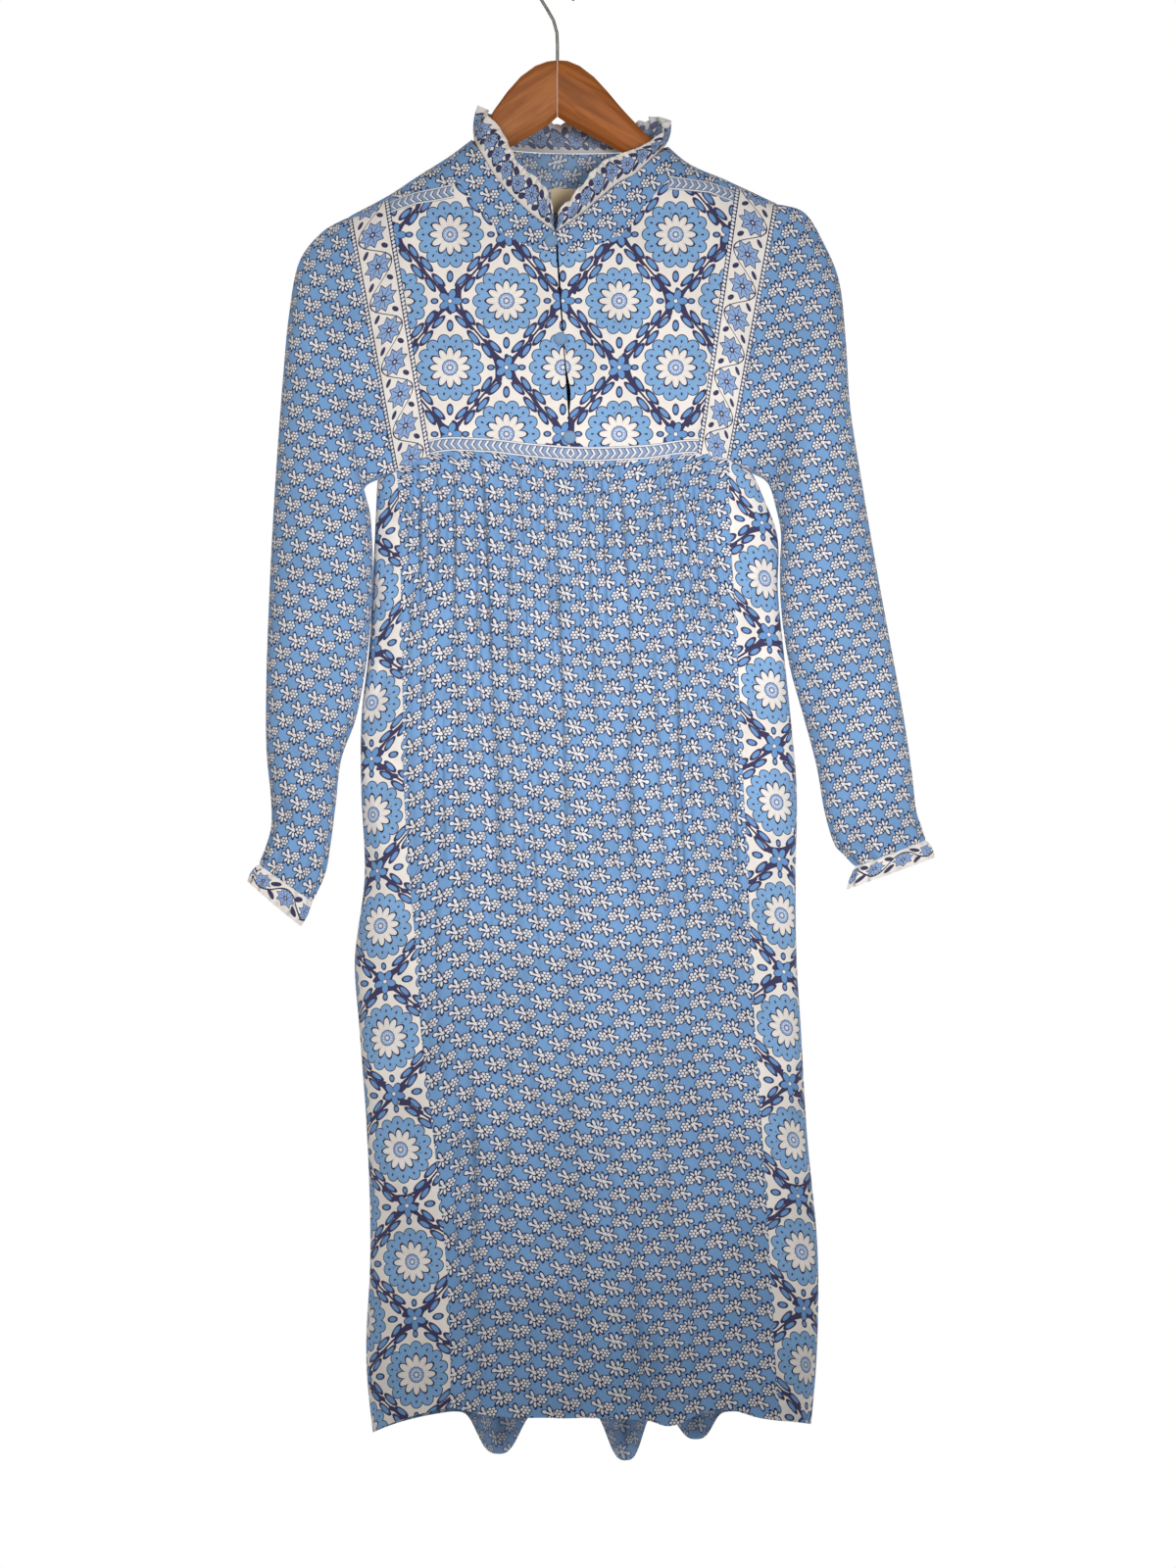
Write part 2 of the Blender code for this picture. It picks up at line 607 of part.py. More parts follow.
def cuff_surface(hand, turn, t):
    """Cuff ruffle: leaves the wrist seam and fans out in waves."""
    seam = sleeve_surface(hand, turn, 1.0)
    above = sleeve_surface(hand, turn, 1 - CUFF_SEAM_STEP)
    lift = CUFF_SEAM_GAP - ARMHOLE_GAP - SEAM_HALF_GAP
    seam += lift * (seam - above) / np.linalg.norm(seam - above)
    rows = CUFF_LEFT_ROWS if hand < 0 else CUFF_RIGHT_ROWS
    edge = ring_point(rows[0], CUFF_COLUMNS, turn)
    facing = ring_point(rows[0], CUFF_COLUMNS, turn + 0.5)
    out = (edge - facing) / np.linalg.norm(edge - facing)
    wave = CUFF_WAVE_DEPTH * math.sin(2 * math.pi * CUFF_WAVES * turn + 0.5)
    edge = edge + out * wave
    return lerp(seam, edge, t) + out * CUFF_BELLY * math.sin(math.pi * min(max(t, 0), 1))


def neckline_point(row):
    """Base of the collar on the yoke's neck edge."""
    station = dict(zip(COLLAR_COLUMNS, row))
    if station["side"] == 0:
        return yoke_point(station["base_x"] * MM, 0.0)
    return on_yoke(station["base_x"] * MM, station["base_z"] * MM, station["side"])


def line_through(points):
    """Three curves through points in space, read by their place in the list."""
    places = range(len(points))
    curves = [curve(places, [point[k] for point in points]) for k in range(3)]
    return lambda place: np.array([one(place) for one in curves])


collar_base = line_through([neckline_point(row) for row in COLLAR_ROWS])
collar_edge = line_through([np.array(row[3:6]) * MM for row in COLLAR_ROWS])


def collar_surface(u, t):
    """Collar ruffle: u along the neckline, t from its seam to its frilled edge."""
    at = u * (len(COLLAR_ROWS) - 1)
    base = collar_base(at)
    edge = collar_edge(at)
    rise = edge - base
    base = base + COLLAR_LIFT * rise / np.linalg.norm(rise)
    run = collar_base(at + COLLAR_NORMAL_STEP) - collar_base(at - COLLAR_NORMAL_STEP)
    out = np.cross(rise, run)
    out /= np.linalg.norm(out)
    shift = COLLAR_UNEVEN_SHIFT * math.sin(2 * math.pi * COLLAR_UNEVEN_WAVES * u)
    wave = math.cos(2 * math.pi * COLLAR_WAVES * u + shift)
    size = COLLAR_WAVE_DEPTH * max(t, 0) ** COLLAR_WAVE_GROWTH
    belly = COLLAR_BELLY * math.sin(math.pi * min(max(t, 0), 1))
    return lerp(base, edge, t) + out * (size * wave + belly)


def neck_surface(rows, u, t):
    """Round front neck part: u from the shoulder to the opening, t from the seam up."""
    places = np.arange(len(rows), dtype=float)
    at = u * (len(rows) - 1)
    low_x = np.interp(at, places, column(rows, NECK_COLUMNS, "low_x")) * MM
    low_z = np.interp(at, places, column(rows, NECK_COLUMNS, "low_z")) * MM
    high_x = np.interp(at, places, column(rows, NECK_COLUMNS, "high_x")) * MM
    if at <= SHOULDER_STATIONS:
        high_z = ridge(high_x) - SHOULDER_FACING_DROP
    else:
        heights = column(rows, NECK_COLUMNS, "high_z")
        corner = rows[SHOULDER_STATIONS][NECK_COLUMNS.index("high_x")] * MM
        heights[SHOULDER_STATIONS] = (ridge(corner) - SHOULDER_FACING_DROP) / MM
        high_z = np.interp(at, places, heights) * MM
    return on_yoke(lerp(low_x, high_x, t), lerp(low_z, high_z, t), FRONT)


def front_yoke_surface(hand, rows, u, t):
    """Large-print yoke half: u from the border strip to the opening, t from the top."""
    places = np.arange(len(rows), dtype=float)
    at = u * (len(rows) - 1)
    top_x = np.interp(at, places, column(rows, NECK_COLUMNS, "low_x")) * MM
    top_z = np.interp(at, places, column(rows, NECK_COLUMNS, "low_z")) * MM
    share = (top_x - rows[0][0] * MM) / ((rows[-1][0] - rows[0][0]) * MM)
    outer = BORDER_LEFT_LOW_X if hand < 0 else BORDER_RIGHT_LOW_X
    low_x = lerp(outer, OPENING_LOW_X, share)
    z = lerp(top_z, yoke_hem(low_x), t)
    x = lerp(top_x, low_x, t)
    if hand > 0:
        x += share ** 8 * OPENING_GAPE * bump(z - OPENING_GAPE_Z, OPENING_GAPE_REACH)
    return on_yoke(x, z, FRONT)


def border_surface(hand, u, t):
    """Slanting border strip: u from the armhole to its inner edge, t from the top."""
    if hand < 0:
        top, low = ARMHOLE_LEFT_TOP[0], ARMHOLE_LEFT_LOW[0]
        inner_top, inner_low = BORDER_LEFT_TOP_X, BORDER_LEFT_LOW_X
    else:
        top, low = ARMHOLE_RIGHT_TOP[0], ARMHOLE_RIGHT_LOW[0]
        inner_top, inner_low = BORDER_RIGHT_TOP_X, BORDER_RIGHT_LOW_X
    top_x = lerp(top, inner_top, u)
    low_x = lerp(low, inner_low, u)
    z = lerp(ridge(top_x) - SHOULDER_FACING_DROP, yoke_hem(low_x), t)
    return on_yoke(lerp(top_x, low_x, t), z, FRONT)


back_neck = table_curve(BACK_NECK_ROWS, BACK_NECK_COLUMNS, "x", "z")
FACING_TURN = math.acos(1 - SHOULDER_FACING_DROP / SHOULDER_ROUND) * 2 / math.pi


def in_back_neck(x):
    return BACK_NECK_ROWS[0][0] * MM < x < BACK_NECK_ROWS[-1][0] * MM


def back_yoke_surface(x_top, t):
    """Back yoke. t is -1 on the front of the shoulder line, 0 level with the ends of the
    back neck edge and 1 at the back seam; in the neck the columns start at 0."""
    left, right = ARMHOLE_LEFT_TOP[0], ARMHOLE_RIGHT_TOP[0]
    share = (x_top - left) / (right - left)
    x_low = lerp(ARMHOLE_LEFT_LOW[0], ARMHOLE_RIGHT_LOW[0], share)
    tip = lerp(ridge(left), ridge(right), share)
    corner = BACK_NECK_ROWS[0 if x_top < 0 else -1][0] * MM
    x_start = x_top if in_back_neck(x_top) else corner
    start = turn_at(x_start, back_neck(x_start), BACK)
    finish = turn_at(x_low, YOKE_HEM_BACK, BACK)
    turn = lerp(start, finish, t) if t >= 0 else lerp(start, FACING_TURN, -t)
    x = x_top
    for _ in range(3):
        z = yoke_point(x, turn)[2]
        down = min(max((tip - z) / (tip - YOKE_HEM_BACK), 0.0), 1.0) if turn < 0 else 0.0
        x = lerp(x_top, x_low, down)
    if t == 1:
        return on_yoke(x_low, YOKE_HEM_BACK, BACK)
    return yoke_point(x, turn)


def material(name, colour, roughness, metallic=0.0):
    made = bpy.data.materials.new(name)
    made.use_nodes = True
    shader = made.node_tree.nodes["Principled BSDF"]
    shader.inputs["Base Color"].default_value = (*colour, 1.0)
    shader.inputs["Roughness"].default_value = roughness
    shader.inputs["Metallic"].default_value = metallic
    return made


def finish_mesh(name, vertices, faces, look):
    mesh = bpy.data.meshes.new(name)
    mesh.from_pydata([tuple(float(c) for c in v) for v in vertices], [], faces)
    shape = bmesh.new()
    shape.from_mesh(mesh)
    bmesh.ops.recalc_face_normals(shape, faces=shape.faces[:])
    bmesh.ops.triangulate(shape, faces=shape.faces[:])
    if shape.calc_volume(signed=True) < 0:
        bmesh.ops.reverse_faces(shape, faces=shape.faces[:])
    shape.to_mesh(mesh)
    shape.free()
    mesh.shade_smooth()
    mesh.set_sharp_from_angle(angle=math.radians(SMOOTH_ANGLE))
    mesh.materials.append(look)
    made = bpy.data.objects.new(name, mesh)
    bpy.context.scene.collection.objects.link(made)
    return made


def surface_grid(surface, us, ts, closed, facing):
    """Points and unit normals of a surface on a grid; facing gives the normal of a
    point where it is known."""
    points = np.array([[surface(u, t) for t in ts] for u in us])
    if facing:
        return points, np.array([[facing(point) for point in line] for line in points])
    if closed:
        across = np.roll(points, -1, axis=0) - np.roll(points, 1, axis=0)
        normals = np.cross(across, np.gradient(points, axis=1))
        return points, normals / np.linalg.norm(normals, axis=2, keepdims=True)
    normals = np.zeros_like(points)
    du = (max(us) - min(us)) * NORMAL_SHARE_STEP
    dt = (max(ts) - min(ts)) * NORMAL_SHARE_STEP
    for i, u in enumerate(us):
        for j, t in enumerate(ts):
            across = surface(u + du, t) - surface(u - du, t)
            down = surface(u, t + dt) - surface(u, t - dt)
            normal = np.cross(across, down)
            normals[i, j] = normal / max(np.linalg.norm(normal), 1e-12)
    return points, normals


def pull_edges(points, closed, gap):
    """Draw the border of a panel back from its seams."""
    sides = [(points[:, 0], points[:, 1]), (points[:, -1], points[:, -2])]
    if not closed:
        sides += [(points[0], points[1]), (points[-1], points[-2])]
    moves = []
    for edge, inside in sides:
        step = inside - edge
        length = np.linalg.norm(step, axis=1, keepdims=True)
        moves.append(gap * step / np.maximum(length, 1e-9))
    for (edge, _), move in zip(sides, moves):
        edge += move


def cloth(name, surface, us, ts, look, outward, closed=False, gap=SEAM_HALF_GAP, wall=WALL,
          facing=None, left_out=None):
    """A cloth panel: the surface is its outer face, and the inner face lies one wall
    thickness inside it. outward is the way the grid's middle faces, and left_out tells
    which cells of the grid the panel doesn't have."""
    points, normals = surface_grid(surface, us, ts, closed, facing)
    middle = normals[len(us) // 2, len(ts) // 2]
    if np.dot(middle, outward) < 0:
        normals = -normals
    pull_edges(points, closed, gap)
    inner = points - normals * wall
    count_u, count_t = len(us), len(ts)
    spans = count_u if closed else count_u - 1
    cells = {(i, j) for i in range(spans) for j in range(count_t - 1)
             if not (left_out and left_out(us[i], us[i + 1], ts[j]))}
    numbers = {}
    vertices = []

    def at(i, j, layer):
        key = (i % count_u, j, layer)
        if key not in numbers:
            numbers[key] = len(vertices)
            vertices.append((points, inner)[layer][key[0], j])
        return numbers[key]

    faces = []
    for i, j in sorted(cells):
        for near, side, far in (((i, j), (i + 1, j), (i + 1, j + 1)),
                                ((i, j), (i + 1, j + 1), (i, j + 1))):
            faces.append([at(*near, 0), at(*side, 0), at(*far, 0)])
            faces.append([at(*near, 1), at(*far, 1), at(*side, 1)])
        last = spans - 1
        sides = (((i, j - 1), (i, j), (i + 1, j)),
                 ((i, j + 1), (i + 1, j + 1), (i, j + 1)),
                 (((i - 1) if i or not closed else last, j), (i, j + 1), (i, j)),
                 (((i + 1) if i < last or not closed else 0, j), (i + 1, j), (i + 1, j + 1)))
        for neighbour, start, end in sides:
            if neighbour not in cells:
                faces.append([at(*start, 0), at(*start, 1), at(*end, 1), at(*end, 0)])
    return finish_mesh(name, vertices, faces, look)


def solid_of_rings(name, rings, look):
    """A closed solid through rings of equal count, with both ends capped."""
    count = len(rings[0])
    vertices = [point for ring in rings for point in ring]
    faces = [list(range(count)), list(range((len(rings) - 1) * count, len(rings) * count))]
    for k in range(len(rings) - 1):
        for i in range(count):
            a = k * count + i
            b = k * count + (i + 1) % count
            faces.append([a, b, b + count, a + count])
    return finish_mesh(name, vertices, faces, look)


def hanger_arm(name, rows, look):
    hand = -1 if rows[1][0] < 0 else 1
    rings = []
    for row in rows:
        section = dict(zip(HANGER_COLUMNS, row))
        x = section["x"] * MM + (hand * MITRE_HALF_GAP if section["x"] == 0 else 0.0)
        middle = 0.5 * (section["top"] + section["low"]) * MM
        tall = 0.5 * (section["top"] - section["low"]) * MM
        ring = []
        for k in range(HANGER_STEPS_ROUND):
            angle = 2 * math.pi * (k + 0.5) / HANGER_STEPS_ROUND + math.pi / 2
            c, s = math.cos(angle), math.sin(angle)
            y = math.copysign(abs(c) ** (2 / HANGER_SQUARENESS), c) * section["half"] * MM
            z = math.copysign(abs(s) ** (2 / HANGER_SQUARENESS), s) * tall
            ring.append((x, y, middle + z - HANGER_COVER))
        rings.append(ring)
    return solid_of_rings(name, rings, look)


def hook(look):
    """Wire hook: stem out of the hanger's middle, bend, then the crook over the rail."""
    radius = HOOK_INNER_RADIUS + HOOK_WIRE / 2
    centre_z = -HOOK_INNER_RADIUS
    path = [(0.0, HOOK_STEM_FOOT)]
    path += [(x * MM, z * MM) for x, z in HOOK_STEM_POINTS]
    for k in range(HOOK_ARC_STEPS + 1):
        angle = math.radians(lerp(HOOK_ARC_START, HOOK_ARC_END, k / HOOK_ARC_STEPS))
        path.append((radius * math.cos(angle), centre_z + radius * math.sin(angle)))
    rings = []
    for k, (x, z) in enumerate(path):
        before = path[max(k - 1, 0)]
        after = path[min(k + 1, len(path) - 1)]
        run = np.array([after[0] - before[0], 0.0, after[1] - before[1]])
        run /= np.linalg.norm(run)
        across = np.array([run[2], 0.0, -run[0]])
        ring = []
        for side in range(HOOK_STEPS_ROUND):
            angle = 2 * math.pi * side / HOOK_STEPS_ROUND
            offset = across * math.cos(angle) + np.array([0.0, 1.0, 0.0]) * math.sin(angle)
            ring.append(np.array([x, 0.0, z]) + offset * HOOK_WIRE / 2)
        rings.append(ring)
    return solid_of_rings("hanger_hook", rings, look)


def button(name, x, z, look):
    """Domed covered button that lies on the front opening."""
    centre = on_yoke(x, z, FRONT)
    aside = on_yoke(x + MM, z, FRONT) - on_yoke(x - MM, z, FRONT)
    below = on_yoke(x, z - MM, FRONT) - on_yoke(x, z + MM, FRONT)
    normal = np.cross(aside, below)
    normal /= np.linalg.norm(normal)
    if normal[1] > 0:
        normal = -normal
    across = aside / np.linalg.norm(aside)
    up = np.cross(normal, across)
    rings = []
    for share, height in BUTTON_PROFILE_ROWS:
        ring = []
        for k in range(BUTTON_STEPS_ROUND):
            angle = 2 * math.pi * k / BUTTON_STEPS_ROUND
            spoke = across * math.cos(angle) + up * math.sin(angle)
            raised = BUTTON_CLEARANCE + height * BUTTON_DIAMETER
            ring.append(centre + spoke * share * BUTTON_DIAMETER + normal * raised)
        rings.append(ring)
    return solid_of_rings(name, rings, look)


def label_surface(u, t):
    """Label hanging inside the back neck, one gap clear of the yoke's inner face."""
    x = lerp(LABEL_LEFT, LABEL_RIGHT, u)
    z = lerp(LABEL_TOP, LABEL_LOW, t)
    point = on_yoke(x, z, BACK)
    point[1] -= WALL + LABEL_CLEARANCE
    return point


def spaced(count, start=0.0, stop=1.0):
    return [lerp(start, stop, k / count) for k in range(count + 1)]


def build():
    for old in list(bpy.data.objects):
        bpy.data.objects.remove(old, do_unlink=True)

    sprig = material("sprig_cotton", (0.23, 0.41, 0.67), 0.85)
    large = material("large_print_cotton", (0.62, 0.62, 0.68), 0.85)
    border = material("border_print_cotton", (0.74, 0.70, 0.68), 0.85)
    covered = material("blue_covered_button", (0.30, 0.46, 0.62), 0.8)
    woven = material("woven_label", (0.78, 0.62, 0.50), 0.7)
    wood = material("varnished_wood", (0.30, 0.12, 0.04), 0.35)
    wire = material("steel_wire", (0.45, 0.45, 0.43), 0.35, 1.0)

    cloth("skirt_front", lambda u, t: skirt_point(u, t, FRONT, front_hem, yoke_hem),
          spaced(FRONT_GATHERS * 4), SKIRT_ROWS, sprig, FORWARD)
    cloth("skirt_back",
          lambda u, t: skirt_point(u, t, BACK, back_hem, lambda x: YOKE_HEM_BACK),
          spaced(BACK_GATHERS * 4), SKIRT_ROWS, sprig, BACKWARD)

    for hand, name in ((-1, "left"), (1, "right")):
        aside = (hand, 0, 0)
        cloth("side_panel_" + name, lambda u, t, h=hand: side_panel_point(h, u, t),
              spaced(12), SKIRT_ROWS, large, aside)
        rows = NECK_LEFT_ROWS if hand < 0 else NECK_RIGHT_ROWS
        stations = spaced(2 * len(rows) - 2)
        cloth("neck_yoke_" + name, lambda u, t, r=rows: neck_surface(r, u, t),
              stations, spaced(3), sprig, FORWARD, facing=yoke_normal)
        cloth("front_yoke_" + name,
              lambda u, t, h=hand, r=rows: front_yoke_surface(h, r, u, t),
              stations, spaced(6), large, FORWARD, facing=yoke_normal)
        cloth("yoke_border_" + name, lambda u, t, h=hand: border_surface(h, u, t),
              spaced(3), spaced(10), border, FORWARD, facing=yoke_normal)
        turns = [k / SLEEVE_STEPS_ROUND for k in range(SLEEVE_STEPS_ROUND)]
        cloth("sleeve_" + name, lambda u, t, h=hand: sleeve_surface(h, u, t),
              turns, SLEEVE_ROWS, sprig, (-hand, 0, 0), closed=True, gap=ARMHOLE_GAP)
        cuff_turns = [k / (CUFF_WAVES * 4) for k in range(CUFF_WAVES * 4)]
        cloth("cuff_ruffle_" + name, lambda u, t, h=hand: cuff_surface(h, u, t),
              cuff_turns, [0, 0.5, 1.0], border, (-hand, 0, 0), closed=True)

    cloth("shoulder_yoke", back_yoke_surface, [x * MM for x in BACK_YOKE_COLUMNS],
          BACK_YOKE_ROWS, sprig, BACKWARD, facing=yoke_normal,
          left_out=lambda a, b, t: t < 0 and in_back_neck(0.5 * (a + b)))
    cloth("collar_ruffle", collar_surface, spaced(COLLAR_WAVES * 4), [0, 0.5, 1.0],
          border, BACKWARD)

    for name, place in BUTTON_PLACES.items():
        button(name, place[0], place[1], covered)
    cloth("neck_label", label_surface, spaced(2), spaced(2), woven, BACKWARD, wall=LABEL_WALL)
    hanger_arm("hanger_bar_left", HANGER_LEFT_ROWS, wood)
    hanger_arm("hanger_bar_right", HANGER_RIGHT_ROWS, wood)
    hook(wire)


build()
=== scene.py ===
import functools
import math

import bpy
import numpy as np
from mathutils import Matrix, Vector


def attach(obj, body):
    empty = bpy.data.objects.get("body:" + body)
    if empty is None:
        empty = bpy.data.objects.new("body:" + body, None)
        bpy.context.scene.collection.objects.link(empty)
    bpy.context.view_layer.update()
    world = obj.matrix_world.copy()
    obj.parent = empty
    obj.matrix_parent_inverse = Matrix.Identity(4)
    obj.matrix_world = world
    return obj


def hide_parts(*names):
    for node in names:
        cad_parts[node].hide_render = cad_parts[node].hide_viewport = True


bl_info = {
    "name": "Printed cotton dress on a hanger",
    "version": (1, 0, 0),
    "blender": (4, 5, 0),
    "location": "View3D > Sidebar > Dress",
    "description": "Builds the dress, its hanger and a small studio around the packed frame",
    "category": "Object",
}

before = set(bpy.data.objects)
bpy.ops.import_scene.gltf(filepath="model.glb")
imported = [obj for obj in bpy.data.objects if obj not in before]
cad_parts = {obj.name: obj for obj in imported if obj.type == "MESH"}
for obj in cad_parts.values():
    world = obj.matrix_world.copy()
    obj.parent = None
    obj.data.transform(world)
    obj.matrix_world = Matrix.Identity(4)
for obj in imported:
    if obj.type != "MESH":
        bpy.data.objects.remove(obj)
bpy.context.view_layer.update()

MM = 0.001
BODY = "root"
FRONT = 1
BACK = -1
LEFT = -1
RIGHT = 1
HANDS = (("left", LEFT), ("right", RIGHT))
FORWARD = (0, -1, 0)
BACKWARD = (0, 1, 0)
NO_LENGTH = 1e-12

# Cloth and seams
CLOTH_WALL = 0.6 * MM
SEAM_DIP = 0.5 * MM
SEAM_DIP_REACH = 2.2 * MM
NEIGHBOUR_GAP = 0.02 * MM
SEAM_ROWS = (0.7 * MM, 1.5 * MM, 2.8 * MM)
EDGE_ANGLE = math.radians(50)
BAKE_SPLIT = 0.75
BAKE_MARGIN = 0.004

# Yoke over the shoulders
SHOULDER_ROUND = 45.0 * MM
SHOULDER_FACING_DROP = 3.0 * MM
BODY_SQUARENESS = 2.4
SEAM_OFFSET_MOST = 0.98
YOKE_HEM_BACK = -440.0 * MM
YOKE_ROUNDS = 4

# Shoulder line over the hanger: where it passes across the dress
RIDGE_COLUMNS = ("x", "z")
RIDGE_ROWS = (
    (-225, -243), (-206, -231), (-188, -221), (-150, -200.5), (-125, -184), (-98, -167),
    (-77, -151.5), (-60, -140), (-20, -130), (30, -130), (75, -139), (97, -155.5),
    (114, -170), (151, -187.5), (175, -198.5), (199, -209.5), (225, -217),
)

# Body edges, panel seams and half depths at each height
BODY_COLUMNS = ("z", "left", "right", "seam_left", "seam_right", "front", "back")
BODY_ROWS = (
    (-200, -236, 244, -156, 161, 31, 27),
    (-300, -203, 214, -137, 147, 33, 29),
    (-371, -181, 192, -125, 137, 34, 30),
    (-440, -162, 172, -146, 155, 34, 31),
    (-470, -163, 184, -143, 154.5, 35, 32),
    (-505, -164.5, 197.5, -142, 155.5, 36, 33),
    (-560, -167, 199, -141, 159, 38, 35),
    (-612, -170, 204, -140, 162, 40, 37),
    (-668, -176.5, 210, -139, 164.5, 42, 38),
    (-737, -177, 216, -138, 167.5, 44, 40),
    (-816, -174, 215, -133, 171.5, 46, 42),
    (-896, -183, 216, -126, 175, 48, 44),
    (-950, -179, 219.5, -123, 177.5, 49, 45),
    (-1045, -172, 225, -112, 184, 51, 48),
    (-1160, -169, 235, -100, 191, 53, 51),
    (-1250, -172.5, 234, -96, 196, 55, 54),
    (-1350, -163, 225, -97, 204, 57, 57),
)

# Lower seam of the front yoke
YOKE_HEM_COLUMNS = ("x", "z")
YOKE_HEM_ROWS = (
    (-150, -452), (-147, -451), (-130, -444), (-114, -437), (-67, -435), (-20, -440),
    (20, -443), (80, -441), (126, -436), (141, -438), (156, -441), (159, -442),
)

# Armhole lines, straight in the front view, from the shoulder tip to the yoke hem
ARMHOLE_TOP = {LEFT: (-189.0 * MM, -221.5 * MM), RIGHT: (199.0 * MM, -209.5 * MM)}
ARMHOLE_LOW = {LEFT: (-147.0 * MM, -451.0 * MM), RIGHT: (156.0 * MM, -441.0 * MM)}
UNDERARM_DROP = 12.0 * MM
UNDERARM_ROUNDNESS = 0.8
ARMHOLE_LINE_SHARE = 0.44
ARMHOLE_EVENNESS = 0.85

# Inner edges of the slanting border strips, top and bottom
BORDER_TOP_X = {LEFT: -152.0 * MM, RIGHT: 160.5 * MM}
BORDER_LOW_X = {LEFT: -114.0 * MM, RIGHT: 126.0 * MM}

# Front opening: a slit that leans to the right and gapes a little near its foot
OPENING_LOW_X = 13.0 * MM
OPENING_GAPE = 3.0 * MM
OPENING_GAPE_Z = -381.0 * MM
OPENING_GAPE_REACH = 16.0 * MM
OPENING_GAPE_NARROWNESS = 8

# Round front neck: the seam to the large-print yoke below, and the edge above it.
# The upper edge of the first rows follows the shoulder line, so its height is left at 0.
SHOULDER_STATIONS = 3
NECK_COLUMNS = ("low_x", "low_z", "high_x", "high_z")
NECK_ROWS = {
    LEFT: (
        (-151.4, -208.2, -151.9, 0),
        (-128, -200, -125, 0),
        (-106, -196, -98, 0),
        (-88, -192, -77.3, 0),
        (-83, -199, -71.5, -161),
        (-76, -208.5, -66, -170),
        (-67, -219.5, -58, -184),
        (-55, -233, -46, -199.5),
        (-38, -245, -30, -215.5),
        (-19, -252.5, -16, -227),
        (-1, -256, -2, -237),
    ),
    RIGHT: (
        (160, -198.6, 160.4, 0),
        (138, -190.5, 133, 0),
        (119, -188, 113, 0),
        (101.5, -186, 99.8, 0),
        (96, -193.5, 91, -165.5),
        (88, -202.5, 80, -176),
        (77, -216, 68, -186.5),
        (62, -236, 56, -192.5),
        (42, -246.5, 41, -204.5),
        (22, -253.5, 21, -222),
        (1, -256, -1, -237),
    ),
}

# Back neckline, with the two points where it crosses the shoulder line
BACK_NECK_COLUMNS = ("x", "z")
BACK_NECK_ROWS = (
    (-77, -151.7), (-75, -153), (-71, -155), (-62, -157), (-40, -160), (12, -162.5),
    (50, -162), (78, -160), (91, -158.5), (97, -158), (99.5, -157.8),
)

# Stand collar: base on the neckline, and the free edge
COLLAR_COLUMNS = ("base_x", "base_z", "side", "edge_x", "edge_y", "edge_z")
COLLAR_ROWS = (
    (-2.5, -236.5, 1, -3.5, -36, -219),
    (-16, -226.5, 1, -9, -38, -201),
    (-30, -215, 1, -20, -38, -188),
    (-46, -199, 1, -33, -37, -178),
    (-58, -183.5, 1, -40, -34, -166),
    (-66, -169.5, 1, -46, -28, -153),
    (-71.5, -160.5, 1, -54, -20, -140),
    (-76, -150.6, 0, -68.5, -2, -122),
    (-71, -155, -1, -62, 20, -126),
    (-62, -157, -1, -53, 31, -129),
    (-40, -160, -1, -36, 37, -131),
    (-14, -161.8, -1, -12, 40, -132),
    (12, -162.5, -1, 13, 41, -134),
    (50, -162, -1, 51, 38, -136),
    (78, -160, -1, 76, 31, -133),
    (91, -158.5, -1, 89, 20, -129),
    (98.4, -156.6, 0, 99, 2, -135),
    (91, -165, 1, 86, -20, -153),
    (80, -175.5, 1, 72, -29, -161),
    (68, -186, 1, 57, -34, -167),
    (56, -192, 1, 43, -36, -173),
    (41, -204, 1, 31, -38, -184),
    (21, -221.5, 1, 15, -38, -204),
    (-0.5, -236.5, 1, 0.5, -36, -219),
)
COLLAR_WAVES = 26
COLLAR_WAVE_DEPTH = 3.4 * MM
COLLAR_WAVE_GROWTH = 1.5
COLLAR_UNEVEN_WAVES = 3
COLLAR_UNEVEN_SHIFT = 1.5
COLLAR_BELLY = 2.5 * MM
COLLAR_FRILL_WAVES = 71
COLLAR_FRILL_DEPTH = 1.3 * MM
COLLAR_FRILL_GROWTH = 3
COLLAR_STEP = 0.1
RUFFLE_LIFT = 0.1 * MM

# Sleeves: outer and inner edge of each section in the front view, half depth and shift
SLEEVE_COLUMNS = ("outer_x", "outer_z", "inner_x", "inner_z", "half", "shift")
SLEEVE_ROWS = {
    LEFT: (
        (-213, -237, -174, -467, 27, -2),
        (-233, -264, -169, -488, 31, -7),
        (-242, -312, -167, -512, 33, -10),
        (-247, -365, -166, -540, 33, -11),
        (-252, -430, -167, -570, 32, -11),
        (-256.5, -500, -169.5, -602, 30, -11),
        (-260, -570, -174, -636, 28, -9),
        (-262.5, -640, -182, -675, 26, -6),
        (-262.5, -700, -195, -711, 24, -4),
        (-258.5, -743, -200, -750, 22, -2),
        (-257.5, -770, -205, -786, 20, -2),
        (-262, -790, -210.5, -813, 18, -2),
        (-268, -806, -222, -838, 16, -2),
    ),
    RIGHT: (
        (223, -219, 190, -462, 27, -2),
        (240, -246, 197, -484, 31, -7),
        (254, -281, 201.5, -508, 33, -10),
        (260, -335, 200.5, -536, 33, -11),
        (264, -395, 201, -566, 32, -11),
        (275, -465, 204.5, -600, 30, -11),
        (287, -535, 211, -634, 28, -9),
        (300, -605, 223, -676, 26, -6),
        (311, -665, 234, -718, 24, -4),
        (319, -718, 241, -757, 22, -2),
        (323, -756, 250, -786, 20, -2),
        (327, -771, 260, -797, 18, -2),
        (331, -784, 270, -807, 17, -2),
    ),
}
SLEEVE_WRIST_WAVES = 10
SLEEVE_WRIST_DEPTH = 1.6 * MM
SLEEVE_WRIST_REACH = 0.16
SLEEVE_HEAD_WAVES = 10
